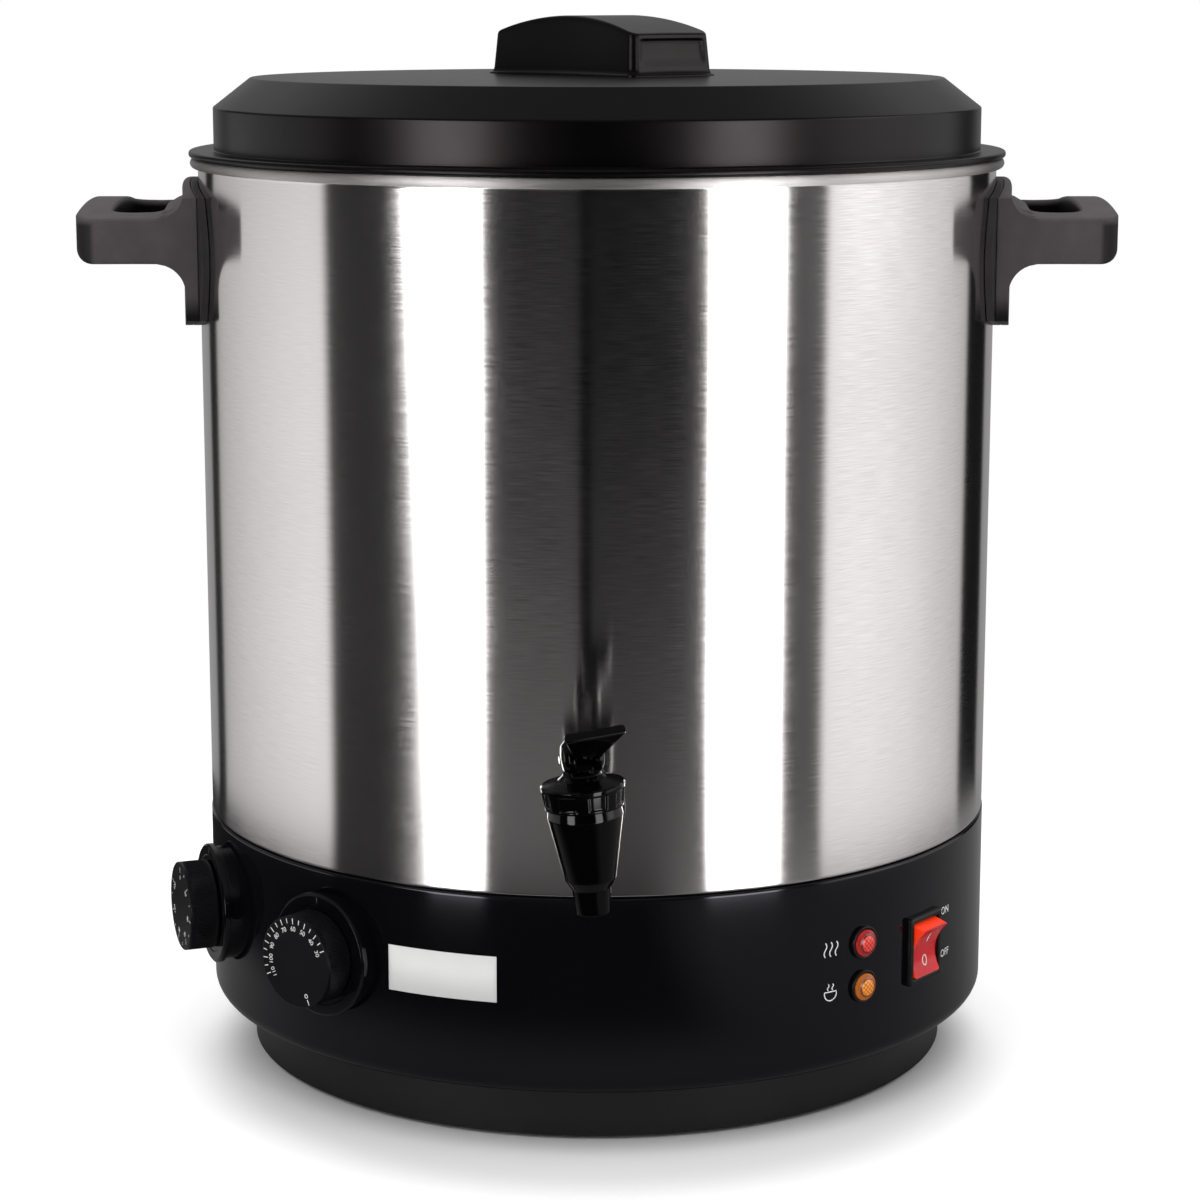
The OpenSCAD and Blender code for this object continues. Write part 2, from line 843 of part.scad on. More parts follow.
module base_pan() {
    slots = 24;
    slot_l = 36;
    slot_w = 3;
    slot_in = well_d / 2 + 12;
    color("#141415")
        difference() {
            union() {
                ring(plinth_r - base_wall, plinth_r, foot_h, plinth_h);
                translate([0, 0, foot_h])
                    cylinder(r = plinth_r, h = base_wall);
                translate([0, 0, foot_h])
                    cylinder(d = well_d, h = well_h + base_wall);
                at_quarters(screw_ring)
                    translate([0, 0, foot_h])
                        cylinder(d = screw_post_d, h = plinth_h - foot_h);
            }
            translate([0, 0, foot_h - cut])
                cylinder(d = well_d - 2 * base_wall, h = well_h + cut);
            cylinder(d = tie_d + 2 * hole_gap, h = plinth_h);
            at_quarters(screw_ring) {
                translate([0, 0, foot_h - cut])
                    cylinder(d = screw_head_d + 2 * hole_gap, h = head_pocket + cut);
                cylinder(d = screw_d + 2 * hole_gap, h = plinth_h + cut);
            }
            at_quarters(foot_ring)
                cylinder(d = foot_stem_d + 2 * thread_gap, h = pan_top + cut);
            for (i = [0:slots - 1])
                rotate([0, 0, 360 * i / slots])
                    translate([slot_in, -slot_w / 2, foot_h - cut])
                        cube([slot_l, slot_w, base_wall + 2 * cut]);
        }
}

module rubber_feet() {
    color("#1a1a1a")
        at_quarters(foot_ring)
            union() {
                cylinder(d = foot_d, h = foot_h);
                translate([0, 0, foot_h - eps])
                    cylinder(d = foot_stem_d, h = base_wall + 2 * eps);
                translate([0, 0, pan_top])
                    cylinder(d1 = foot_stem_d + 2, d2 = foot_stem_d - 2, h = 3);
            }
}

module well_plug() {
    r = well_d / 2 - base_wall - hole_gap;
    color("#1a1a1a")
        union() {
            cylinder(d = well_d + 2 * plug_flange, h = foot_h);
            ring(r - plug_wall, r, foot_h - eps, foot_h + plug_in);
        }
}

module base_screws() {
    head_z = foot_h + head_pocket;
    color("silver")
        at_quarters(screw_ring)
            union() {
                translate([0, 0, head_z - screw_head_h])
                    cylinder(d = screw_head_d, h = screw_head_h);
                translate([0, 0, head_z - eps])
                    cylinder(d = screw_d, h = plinth_h - head_z + screw_boss_h - 4);
            }
}

module pot_seat_ring() {
    color("#1b1b1d")
        ring(seat_r - seat_w, seat_r, seat_low, seat_z);
}

module pot_gasket() {
    color("#202022")
        ring(seat_r - gasket_w, seat_r, seat_z, foot_z);
}

// Heater

function heater_end(side) =
    let (a = 90 + side * heater_gap / 2)
    [heater_d / 2 * cos(a), heater_d / 2 * sin(a)];

module heat_shield() {
    color("lightgray")
        translate([0, 0, shield_z])
            difference() {
                cylinder(r = shield_r, h = shield_t);
                translate([0, 0, -cut]) {
                    cylinder(d = tie_d + 4, h = shield_t + 2 * cut);
                    for (side = [-1, 1])
                        translate(heater_end(side))
                            cylinder(d = heater_pin_d + 5, h = shield_t + 2 * cut);
                }
            }
}

module heat_spreader() {
    color("gainsboro")
        translate([0, 0, spread_z])
            cylinder(d = spreader_d, h = spreader_t);
}

module heater_tube_ring() {
    color("dimgray")
        union() {
            translate([0, 0, heater_z])
                rotate([0, 0, 90 + heater_gap / 2])
                    rotate_extrude(angle = 360 - heater_gap)
                        translate([heater_d / 2, 0])
                            circle(d = heater_tube);
            for (side = [-1, 1])
                translate(concat(heater_end(side), heater_z - heater_pin_l))
                    cylinder(d = heater_pin_d, h = heater_pin_l);
        }
}

module tie_rod() {
    color("silver")
        union() {
            translate([0, 0, tie_low])
                cylinder(d = tie_d, h = spread_z - tie_low);
            translate([0, 0, spread_z - tie_head_t])
                cylinder(d = tie_head_d, h = tie_head_t);
        }
}

module tie_washer() {
    color("silver")
        ring(tie_d / 2 + hole_gap, tie_d / 2 + tie_washer_w,
            foot_h + well_h - tie_washer_t, foot_h + well_h);
}

module tie_nut() {
    color("silver")
        translate([0, 0, foot_h + well_h - tie_washer_t - tie_nut_h])
            difference() {
                cylinder(d = tie_d + tie_nut_w, h = tie_nut_h, $fn = 6);
                translate([0, 0, -cut])
                    cylinder(d = tie_d + 2 * thread_gap, h = tie_nut_h + 2 * cut);
            }
}

module thermal_cutout() {
    color("tan")
        translate([cutout_place[0], cutout_place[1], spread_z - cutout_h])
            cylinder(d = cutout_d, h = cutout_h);
}

module sensor_bulb() {
    color("peru")
        translate([0, bulb_y, bulb_z])
            along_x(-bulb_l / 2, bulb_l / 2, bulb_d / 2);
}

// Dials

module dial_body(size) {
    translate([0, 0, pad_z - size[2]])
        difference() {
            union() {
                translate([-size[0] / 2, -size[1] / 2, 0])
                    cube(size);
                translate([0, 0, size[2] - eps])
                    cylinder(d = bush_d, h = bush_top - pad_z);
                for (x = [-blade_x, blade_x])
                    translate([x - blade[0] / 2, -blade[1] / 2, -blade[2]])
                        cube([blade[0], blade[1], blade[2] + eps]);
            }
            translate([0, 0, size[2] + shaft_low - pad_z - cut])
                cylinder(d = shaft_d + 2 * running, h = bush_top - shaft_low + 2 * cut);
        }
}

module dial_nut() {
    translate([0, 0, neck_h])
        difference() {
            cylinder(d = dial_nut_d, h = dial_nut_t, $fn = 6);
            translate([0, 0, -cut])
                cylinder(d = bush_d + 2 * thread_gap, h = dial_nut_t + 2 * cut);
        }
}

module dial_shaft() {
    translate([0, 0, shaft_low])
        cylinder(d = shaft_d, h = shaft_top - shaft_low);
}

module dial_bezel() {
    edge = 0.8;
    r = boss_r;
    translate([0, 0, neck_h])
        rotate_extrude()
            polygon([[dial_nut_d / 2 + 1, 0], [r, 0], [r, bezel_t - edge],
                [r - edge, bezel_t], [dial_nut_d / 2 + 1, bezel_t]]);
}

module dial_knob() {
    edge = 0.6;
    r = knob_d / 2;
    pocket = bush_top - knob_z + 1;
    translate([0, 0, knob_z])
        difference() {
            rotate_extrude()
                polygon([[0, 0], [r, 0], [r, knob_h - edge], [r - edge, knob_h], [0, knob_h]]);
            translate([0, 0, -cut])
                cylinder(d = bush_d + 3, h = pocket + cut);
            cylinder(d = shaft_d + 2 * thread_gap, h = shaft_top - knob_z + 0.2);
        }
}

module thermostat_body() {
    color("ivory") panel(temperature_turn, dial_z) dial_body(thermostat_size);
}

module thermostat_nut() {
    color("silver") panel(temperature_turn, dial_z) dial_nut();
}

module thermostat_shaft() {
    color("silver") panel(temperature_turn, dial_z) dial_shaft();
}

module temperature_bezel() {
    color("#101011") panel(temperature_turn, dial_z) dial_bezel();
}

module temperature_knob() {
    color("#1c1c1e") panel(temperature_turn, dial_z) dial_knob();
}

module timer_body() {
    color("ivory") panel(timer_turn, dial_z) dial_body(timer_size);
}

module timer_nut() {
    color("silver") panel(timer_turn, dial_z) dial_nut();
}

module timer_shaft() {
    color("silver") panel(timer_turn, dial_z) dial_shaft();
}

module timer_bezel() {
    color("#101011") panel(timer_turn, dial_z) dial_bezel();
}

module timer_knob() {
    color("#1c1c1e") panel(timer_turn, dial_z) dial_knob();
}

// Switch and lamps

module switch_housing() {
    pocket = [rocker_w + 2 * rocker_gap, rocker_h + 2 * rocker_gap];
    color("#121213")
        panel(switch_turn, switch_z)
            difference() {
                union() {
                    box([switch_w, switch_h, switch_out], 0);
                    box([switch_body_w, switch_body_h, switch_depth + eps], -switch_depth);
                }
                box([pocket[0], pocket[1], switch_out + switch_pocket + 1], -switch_pocket);
                translate([0, 0, rocker_pivot_z])
                    along_x(-switch_body_w, switch_body_w, rocker_pin_d / 2 + running);
            }
}

module switch_rocker() {
    h = rocker_h / 2;
    top = h - rocker_edge * tan(rocker_tilt);
    dish_r = (top * top + rocker_dish * rocker_dish) / (2 * rocker_dish);
    pin_l = switch_body_w / 2 - 0.1;
    root = 6;
    color("crimson")
        panel(switch_turn, switch_z)
            translate([0, 0, rocker_pivot_z])
                rotate([rocker_tilt, 0, 0])
                    union() {
                        difference() {
                            rotate([90, 0, 90])
                                linear_extrude(rocker_w, center = true)
                                    polygon([[-top, rocker_edge], [-h, 0], [-h + 3, -root],
                                        [h - 3, -root], [h, 0], [top, rocker_edge]]);
                            translate([0, 0, rocker_edge - rocker_dish + dish_r])
                                along_x(-rocker_w, rocker_w, dish_r);
                        }
                        along_x(-pin_l, pin_l, rocker_pin_d / 2);
                    }
}

module switch_terminals() {
    color("goldenrod")
        panel(switch_turn, switch_z)
            for (x = [-terminal_x, terminal_x])
                for (y = [-terminal_y, terminal_y])
                    translate([x - blade[0] / 2, y, -switch_depth - blade[2]])
                        cube([blade[0], blade[1], blade[2]]);
}

module at_lamps() {
    for (i = [0, 1])
        panel(lamp_turn, lamp_z + i * lamp_pitch)
            children();
}

module lamp_bezels() {
    color("#121213")
        at_lamps()
            ring(lens_d / 2 + hole_gap / 2, lens_d / 2 + lamp_ring, 0, lamp_ring_h);
}

module lamp_bodies() {
    color("#e8e4d8")
        at_lamps()
            union() {
                translate([0, 0, -lamp_depth])
                    cylinder(d = lamp_body_d, h = lamp_depth + 0.2);
                for (x = [-lamp_pin_x, lamp_pin_x])
                    translate([0, 0, -lamp_depth - lamp_pin[2]])
                        translate([x - lamp_pin[0] / 2, -lamp_pin[1] / 2, 0])
                            cube([lamp_pin[0], lamp_pin[1], lamp_pin[2] + eps]);
            }
}

module lamp_lens() {
    rise = lens_out - 2;
    dome_r = (lens_d * lens_d / 4 + rise * rise) / (2 * rise);
    intersection() {
        translate([0, 0, 0.2])
            cylinder(d = lens_d, h = lens_out);
        translate([0, 0, lens_out - dome_r])
            sphere(r = dome_r);
    }
}

module lamp_lens_red() {
    color("red") panel(lamp_turn, lamp_z + lamp_pitch) lamp_lens();
}

module lamp_lens_amber() {
    color("orange") panel(lamp_turn, lamp_z) lamp_lens();
}

// Tap

module tap_body() {
    bore_r = shank_d / 2 - 3.5;
    flange_y = tap_reach - washer_t;
    color("#131314")
        tap_frame()
            difference() {
                union() {
                    rotate_extrude()
                        polygon([[0, nozzle_low], [nozzle_r, nozzle_low], [nozzle_r + 0.9, nozzle_top],
                            [cone_r1, cone_low], [cone_r2, cone_top], [bonnet_neck_r, cone_top],
                            [bonnet_neck_r, neck_top], [0, neck_top]]);
                    along_y(0, shank_end, shank_d / 2);
                    along_y(flange_y - tap_flange_t, flange_y, washer_d / 2);
                }
                rotate_extrude()
                    polygon([[0, nozzle_low - 1], [nozzle_bore, nozzle_low - 1], [nozzle_bore, seat_face],
                        [chamber_r - 3.2, seat_face], [chamber_r, cone_top],
                        [chamber_r, neck_top + 1], [0, neck_top + 1]]);
                along_y(0, shank_end + 1, bore_r);
            }
}

module tap_bonnet() {
    ribs = 8;
    rib_gap = 8;
    rib_depth = 0.5;
    low = cone_top + 0.2;
    color("#131314")
        tap_frame()
            difference() {
                rotate_extrude()
                    polygon([[stem_d / 2 + running, collar_top], [collar_r, collar_top],
                        [collar_r, collar_low], [bonnet_r - 0.6, bonnet_edge + 0.3],
                        [bonnet_r, bonnet_edge - 0.4], [cone_r2 + 0.1, low],
                        [bonnet_neck_r + thread_gap, low], [bonnet_neck_r + thread_gap, neck_top + 0.3],
                        [chamber_r, neck_top + 0.3], [chamber_r, bonnet_roof],
                        [stem_d / 2 + running, bonnet_roof]]);
                for (i = [0:ribs - 1])
                    rotate([0, 0, 360 * i / ribs])
                        translate([bonnet_r - rib_depth - 0.6, -rib_gap / 2, low + 3])
                            cube([5, rib_gap, bonnet_edge - low - 6]);
            }
}

module tap_stem() {
    color("#202022")
        difference() {
            union() {
                tap_frame()
                    translate([0, 0, stem_low])
                        cylinder(d = stem_d, h = head_low - stem_low + 1);
                lever_frame()
                    box([head_w, stem_d, pin_z - head_low + 3.5], head_low - pin_z);
            }
            lever_frame()
                along_x(-head_w, head_w, pin_d / 2 + running);
        }
}

module tap_seat() {
    color("whitesmoke")
        tap_frame()
            translate([0, 0, seat_low_z])
                difference() {
                    union() {
                        cylinder(r = nozzle_bore + 1.6, h = 2);
                        translate([0, 0, 2 - eps])
                            cylinder(r1 = nozzle_bore + 1.4, r2 = stem_d / 2 + 1.2, h = seat_h - 2 + eps);
                    }
                    translate([0, 0, 3])
                        cylinder(d = stem_d + 2 * thread_gap, h = seat_h);
                }
}

module tap_spring() {
    turns = 6;
    rings = 10;
    wire = 1;
    r = stem_d / 2 + 2.4;
    low = seat_top_z + wire / 2 + lay_gap;
    top = bonnet_roof - wire / 2 - lay_gap;
    path = [for (i = [0:turns * rings]) let (t = i / (turns * rings))
        [r * cos(360 * turns * t), r * sin(360 * turns * t), low + (top - low) * t]];
    color("silver")
        tap_frame()
            tube(path, wire, 6);
}

module tap_lever() {
    root = 7.6;
    root_w = 8.4;
    bridge_y = 5.7;
    color("#161617")
        lever_frame()
            difference() {
                union() {
                    for (side = [-1, 1])
                        translate([0, -ear_offset * cos(cam_phase), ear_offset * sin(cam_phase)])
                            along_x(side > 0 ? ear_x : -ear_x - ear_t, side > 0 ? ear_x + ear_t : -ear_x,
                                ear_d / 2);
                    translate([-ear_x - ear_t, -bridge_y - 4.5, 0.3])
                        cube([2 * (ear_x + ear_t), 4.5, 5]);
                    rotate([-lever_rise, 0, 0])
                        translate([0, 0, -lever_t / 2])
                            linear_extrude(lever_t)
                                polygon([[-root_w / 2, -root], [root_w / 2, -root],
                                    [lever_w / 2, -lever_l], [-lever_w / 2, -lever_l]]);
                }
                along_x(-ear_x - ear_t - 1, ear_x + ear_t + 1, pin_d / 2 + thread_gap);
            }
}

module tap_lever_pin() {
    color("silver")
        lever_frame()
            along_x(-ear_x - ear_t, ear_x + ear_t, pin_d / 2);
}

module tap_washer(y) {
    color("#2a2a2c")
        tap_frame()
            difference() {
                along_y(y, y + washer_t, washer_d / 2);
                along_y(y - 1, y + washer_t + 1, shank_d / 2 + thread_gap);
            }
}

module tap_outer_washer() {
    tap_washer(tap_reach - washer_t);
}

module tap_inner_washer() {
    tap_washer(inner_washer_y);
}

module tap_lock_nut() {
    y = inner_washer_y + washer_t;
    color("#131314")
        tap_frame()
            difference() {
                translate([0, y + lock_nut_t, 0])
                    rotate([90, 0, 0])
                        cylinder(d = lock_nut_d, h = lock_nut_t, $fn = 6);
                along_y(y - 1, y + lock_nut_t + 1, shank_d / 2 + thread_gap);
            }
}

// Cord gland, terminal block and wiring

module cord_gland() {
    low = gland_nut_top - gland_nut_t - gland_over;
    color("#18181a")
        panel(180, gland_z)
            difference() {
                union() {
                    cylinder(d = gland_flange_d, h = gland_flange_t);
                    translate([0, 0, low])
                        cylinder(d = gland_d, h = eps - low);
                }
                translate([0, 0, low - cut])
                    cylinder(d = gland_bore, h = gland_flange_t - low + 2 * cut);
            }
}

module cord_gland_nut() {
    color("#18181a")
        panel(180, gland_z)
            translate([0, 0, gland_nut_top - gland_nut_t])
                difference() {
                    cylinder(d = gland_nut_d, h = gland_nut_t, $fn = 6);
                    translate([0, 0, -cut])
                        cylinder(d = gland_d + 2 * thread_gap, h = gland_nut_t + 2 * cut);
                }
}

module terminal_block() {
    color("beige")
        translate([0, block_y, 0])
            box(block_size, pan_top);
}

// Ends of the wires, each with the direction in which the wire leaves
function block_end(pole) =
    [[(pole - 0.5) * block_pitch, block_y, pan_top + block_size[2] + wire_gap], [0, 0, 1]];
function pin_end(side) =
    [concat(heater_end(side), heater_z - heater_pin_l - wire_gap), [0, 0, -1]];
function panel_end(turn, z, p) =
    [panel_point(turn, z, p - [0, 0, wire_gap]), [-sin(turn), cos(turn), 0]];
function dial_end(turn, size, x) = panel_end(turn, dial_z, [x, 0, pad_z - size[2] - blade[2]]);
function switch_end(x, y) = panel_end(switch_turn, switch_z, [x, y, -switch_depth - blade[2]]);
function lamp_end(i) =
    panel_end(lamp_turn, lamp_z + i * lamp_pitch, [-lamp_pin_x, 0, -lamp_depth - lamp_pin[2]]);

// A wire between two ends, which leaves both straight for about the given length
module wire(a, b, lead) {
    n = 14;
    tube([for (i = [0:n]) bezier(a[0], a[0] + lead * a[1], b[0] + lead * b[1], b[0], i / n)], wire_d);
}

module wiring() {
    color("firebrick") {
        wire(block_end(3), switch_end(terminal_x, terminal_y), wire_lead);
        wire(switch_end(-terminal_x, -terminal_y), dial_end(temperature_turn, thermostat_size, blade_x),
            wire_lead * 0.85);
        wire(dial_end(temperature_turn, thermostat_size, -blade_x), dial_end(timer_turn, timer_size, blade_x),
            wire_lead * 0.55);
        wire(dial_end(timer_turn, timer_size, -blade_x), pin_end(1), wire_lead);
        wire(block_end(2), pin_end(-1), wire_lead / 3);
        wire(block_end(1), lamp_end(1), wire_lead * 1.5);
    }
}

pot_shell();
pot_floor();
lid_shell();
lid_skirt();
lid_grip();
lid_grip_screws();
handle_left();
handle_right();
handle_spacer_left();
handle_spacer_right();
handle_screws();
base_housing();
base_pan();
rubber_feet();
well_plug();
base_screws();
pot_seat_ring();
pot_gasket();
heat_shield();
heat_spreader();
heater_tube_ring();
tie_rod();
tie_washer();
tie_nut();
thermal_cutout();
sensor_bulb();
thermostat_body();
thermostat_nut();
thermostat_shaft();
temperature_bezel();
temperature_knob();
timer_body();
timer_nut();
timer_shaft();
timer_bezel();
timer_knob();
switch_housing();
switch_rocker();
switch_terminals();
lamp_bezels();
lamp_bodies();
lamp_lens_red();
lamp_lens_amber();
tap_body();
tap_bonnet();
tap_stem();
tap_seat();
tap_spring();
tap_lever();
tap_lever_pin();
tap_outer_washer();
tap_inner_washer();
tap_lock_nut();
cord_gland();
cord_gland_nut();
terminal_block();
wiring();
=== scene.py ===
# %% [markdown]
# # A mulled wine kettle, dressed in Blender
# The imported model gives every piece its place, in metres: the pot stands on the origin, its tap
# looks along -Y and +Z is up. This lesson lays finer surfaces over that frame, finds a finish
# for each of them, and lights them like a small product studio.

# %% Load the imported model
import json
from math import cos, pi, radians, sin, sqrt

import bmesh
import bpy
import numpy as np
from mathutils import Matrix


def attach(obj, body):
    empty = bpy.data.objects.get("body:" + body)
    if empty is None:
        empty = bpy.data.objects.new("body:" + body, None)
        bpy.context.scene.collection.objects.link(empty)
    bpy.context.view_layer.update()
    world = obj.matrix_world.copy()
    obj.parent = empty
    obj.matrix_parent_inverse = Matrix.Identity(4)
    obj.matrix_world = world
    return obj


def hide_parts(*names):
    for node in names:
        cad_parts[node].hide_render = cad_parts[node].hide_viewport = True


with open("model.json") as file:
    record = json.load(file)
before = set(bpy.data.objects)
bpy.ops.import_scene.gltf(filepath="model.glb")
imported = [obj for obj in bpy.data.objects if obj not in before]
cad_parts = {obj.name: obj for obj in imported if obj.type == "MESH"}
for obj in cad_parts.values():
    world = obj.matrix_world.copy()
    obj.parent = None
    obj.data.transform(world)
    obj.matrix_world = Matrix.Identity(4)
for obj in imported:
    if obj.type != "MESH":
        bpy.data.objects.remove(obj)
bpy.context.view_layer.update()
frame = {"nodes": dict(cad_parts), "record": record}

nodes = frame["nodes"]
MM = 0.001

# %% [markdown]
# ## Camera
# The photograph was taken with a long lens from a little above the lid. Its circles (rim, brim
# and base) fix the height, the tilt and the focal length, so the camera is set from those
# numbers and not by eye. The small shift puts the pot's axis in its column of the picture.

# %% Camera
CAMERA_PLACE, LOOK_DOWN, FOCAL = (0.0, -1.4368, 0.482), 10.94, 94.13


def linked(name, data):
    """A new object for a camera, mesh or text, linked to the scene."""
    thing = bpy.data.objects.new(name, data)
    bpy.context.scene.collection.objects.link(thing)
    return thing


lens = bpy.data.cameras.new("studio_camera")
lens.sensor_width = 36.0
lens.lens = FOCAL
lens.shift_x = 0.0024
camera = linked("studio_camera", lens)
camera.location = CAMERA_PLACE
camera.rotation_euler = (radians(90 - LOOK_DOWN), 0, 0)
bpy.context.scene.camera = camera
bpy.context.scene.view_settings.view_transform = "Standard"
print("camera at", CAMERA_PLACE, "looks down by", LOOK_DOWN, "degrees")

# %% [markdown]
# ## Places
# Pieces on the base's wall, the tap and the lever each have a frame of their own. A frame is a
# 4 x 4 matrix, and frames are chained with @, so that a piece is drawn about its own axis in
# millimetres and then carried to where the solid sits. A place on the wall is an angle from the
# front, in degrees, and a height.

# %% Frames
POT_R, BASE_R = 180.0, 180.4


def shift(x, y, z):
    """Matrix that moves a point by x, y and z."""
    m = np.eye(4)
    m[:3, 3] = x, y, z
    return m


def turn(axis, degrees):
    """Matrix that turns about x, y or z: the two other coordinates mix by cosine and sine."""
    c, s = cos(radians(degrees)), sin(radians(degrees))
    i, j = {"x": (1, 2), "y": (2, 0), "z": (0, 1)}[axis]
    m = np.eye(4)
    m[i, i] = m[j, j] = c
    m[i, j], m[j, i] = -s, s
    return m


def panel(degrees, height):
    """Frame on the base's wall: x along the wall, y up and z outward."""
    return turn("z", degrees) @ shift(0, -BASE_R, height) @ turn("x", 90)


def placed(points, matrix):
    """Points carried by a matrix."""
    return points @ matrix[:3, :3].T + matrix[:3, 3]


ALONG_Y = turn("x", -90)
ALONG_X = turn("y", 90)
TEMPERATURE = panel(-39.8, 77)
TIMER = panel(-69.5, 77)
SWITCH = panel(52.4, 70.4)
LAMPS = {"red": panel(39.4, 81.3), "amber": panel(39.4, 61.7)}
TAP = turn("z", -1) @ shift(0, -228, 153) @ turn("y", -4.7)
LEVER = TAP @ turn("z", 13) @ shift(0, 0, 31.932)
print("tap at", np.round(TAP[:3, 3], 1), "lever at", np.round(LEVER[:3, 3], 1))

# %% [markdown]
# ## From grids of points to pieces
# Each surface is a grid: rows follow a profile, columns go round it or along it. Four
# neighbours make a face, so the faces come from index arithmetic on whole arrays. Where a row
# shrinks to a point, the doubles are merged, which closes the pole.

# %% Grids


def rounded(corners, closed=True, steps=6, pad=0.5):
    """Outline through corners (x, y, radius). A corner is cut back by radius / tan(half angle)
    on both sides and an arc joins the cuts; one more point beyond each cut keeps flats flat.
    An open outline keeps its two ends as they are."""
    c = np.array([(*p, 0.02)[:3] for p in corners], float)
    p, r = c[:, :2], c[:, 2:]
    to_last, to_next = np.roll(p, 1, 0) - p, np.roll(p, -1, 0) - p
    len_a = np.linalg.norm(to_last, axis=1, keepdims=True)
    len_b = np.linalg.norm(to_next, axis=1, keepdims=True)
    a, b = to_last / len_a, to_next / len_b
    half = np.arccos(np.clip((a * b).sum(1, keepdims=True), -1, 1)) / 2
    back = r / np.tan(half)
    middle = a + b
    centre = p + middle / np.linalg.norm(middle, axis=1, keepdims=True) * r / np.sin(half)
    sweep = pi - 2 * half
    t = np.linspace(0, 1, steps + 1)[None, :, None]
    arc = (np.sin((1 - t) * sweep[:, None]) * (p + a * back - centre)[:, None]
           + np.sin(t * sweep[:, None]) * (p + b * back - centre)[:, None]) / np.sin(sweep)[:, None]
    arc += centre[:, None]
    before = p + a * (back + np.minimum(pad, (len_a - back) / 4))
    after = p + b * (back + np.minimum(pad, (len_b - back) / 4))
    full = np.concatenate([before[:, None], arc, after[:, None]], 1)
    if closed:
        return full.reshape(-1, 2)
    return np.concatenate([p[:1], full[1:-1].reshape(-1, 2), p[-1:]])


def rectangle(w, h, r):
    """Corners of a rectangle of half sides w and h, all with the radius r."""
    return [(w, h, r), (-w, h, r), (-w, -h, r), (w, -h, r)]


def looped(rows):
    """The rows and the first one again, which closes a ring."""
    return np.concatenate([rows, rows[:1]])


def lathe(profile, columns=192, matrix=np.eye(4), swell=None):
    """Profile points (radius, height) go round the z axis: x = radius cos a, y = radius sin a.
    swell(a, height, radius) is added to the radius."""
    r, z = np.asarray(profile, float).T[..., None]
    a = np.linspace(0, 2 * pi, columns, endpoint=False)[None]
    radius = r + (swell(a, z, r) if swell else 0 * a)
    grid = np.stack([radius * np.cos(a), radius * np.sin(a), z + 0 * a], -1)
    return placed(grid, matrix)


def capped(grid):
    """The grid with its first and last rows drawn to their middles, which closes its ends."""
    first, last = grid[:1].mean(1, keepdims=True), grid[-1:].mean(1, keepdims=True)
    wide = (1, grid.shape[1], 1)
    return np.concatenate([np.tile(first, wide), grid, np.tile(last, wide)])


def quads(grid, wrap_rows=False):
    """Corner numbers of a grid's faces; columns always close on themselves."""
    rows, columns = grid.shape[:2]
    i = np.arange(rows if wrap_rows else rows - 1)[:, None]
    j = np.arange(columns)[None]
    k, l = (i + 1) % rows, (j + 1) % columns
    corners = i * columns + j, i * columns + l, k * columns + l, k * columns + j
    return np.stack(np.broadcast_arrays(*corners), -1).reshape(-1, 4)


# %% [markdown]
# A piece may hold several grids or printed shapes. They become one mesh: each part's faces count
# on from the points before it. Then the piece gets its finish, and the frame is told which body
# it rides on and which solids it stands for.

# %% Pieces
MERGE, FLAT = 2e-7, 1e-8


def joined(name, parts):
    """One mesh of parts (points in millimetres, faces)."""
    firsts = np.cumsum([0] + [len(points) for points, faces in parts])
    points = np.concatenate([points for points, faces in parts]) * MM
    faces = np.concatenate([faces + first for (points_of, faces), first in zip(parts, firsts)])
    mesh = bpy.data.meshes.new(name)
    mesh.from_pydata(points.tolist(), [], faces.tolist())
    return mesh


def finished(name, mesh, finish, body, stands_for=(), sharp=40):
    """The object of a mesh: smooth shading, its finish, and the body that it rides on."""
    mesh.polygons.foreach_set("use_smooth", np.ones(len(mesh.polygons), bool))
    mesh.set_sharp_from_angle(angle=radians(sharp))
    mesh.materials.append(finish.material)
    piece_object = linked(name, mesh)
    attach(piece_object, body)
    if stands_for:
        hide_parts(*stands_for)
    print(name, len(mesh.polygons), "faces")
    return piece_object


def piece(name, grids, finish, slot, body="kettle", stands_for=(), sharp=40, closed=False):
    """One piece from grids in millimetres, placed at the origin with its place in its mesh.
    closed says that the grids' rows close on themselves as well, as on a ring."""
    mesh = joined(name, [(grid.reshape(-1, 3), quads(grid, closed)) for grid in grids])
    work = bmesh.new()
    work.from_mesh(mesh)
    bmesh.ops.remove_doubles(work, verts=work.verts, dist=MERGE)
    bmesh.ops.dissolve_degenerate(work, edges=work.edges, dist=FLAT)
    bmesh.ops.recalc_face_normals(work, faces=work.faces)
    work.to_mesh(mesh)
    work.free()
    finished(name, mesh, finish, body, stands_for, sharp)


# %% [markdown]
# ## Patterns written as formulas
# A material's pattern is arithmetic on where a point lies. The class below wraps one number in
# the node tree, and Python's operators on it add Math nodes. Everything else, such as a noise
# or a mix, comes from one method that sets a node's settings first and its sockets after that.

# %% Nodes


class Value:
    """A number or colour on its way through a node tree; the operators are for numbers."""

    def __init__(self, tree, socket):
        self.tree, self.socket = tree, socket

    def __add__(self, other):
        return self.tree.maths("ADD", self, other)

    def __radd__(self, other):
        return self.tree.maths("ADD", other, self)

    def __sub__(self, other):
        return self.tree.maths("SUBTRACT", self, other)

    def __rsub__(self, other):
        return self.tree.maths("SUBTRACT", other, self)

    def __mul__(self, other):
        return self.tree.maths("MULTIPLY", self, other)

    def __rmul__(self, other):
        return self.tree.maths("MULTIPLY", other, self)

    def __truediv__(self, other):
        return self.tree.maths("DIVIDE", self, other)

    def __neg__(self):
        return self.tree.maths("MULTIPLY", self, -1.0)

    def __abs__(self):
        return self.tree.maths("ABSOLUTE", self)


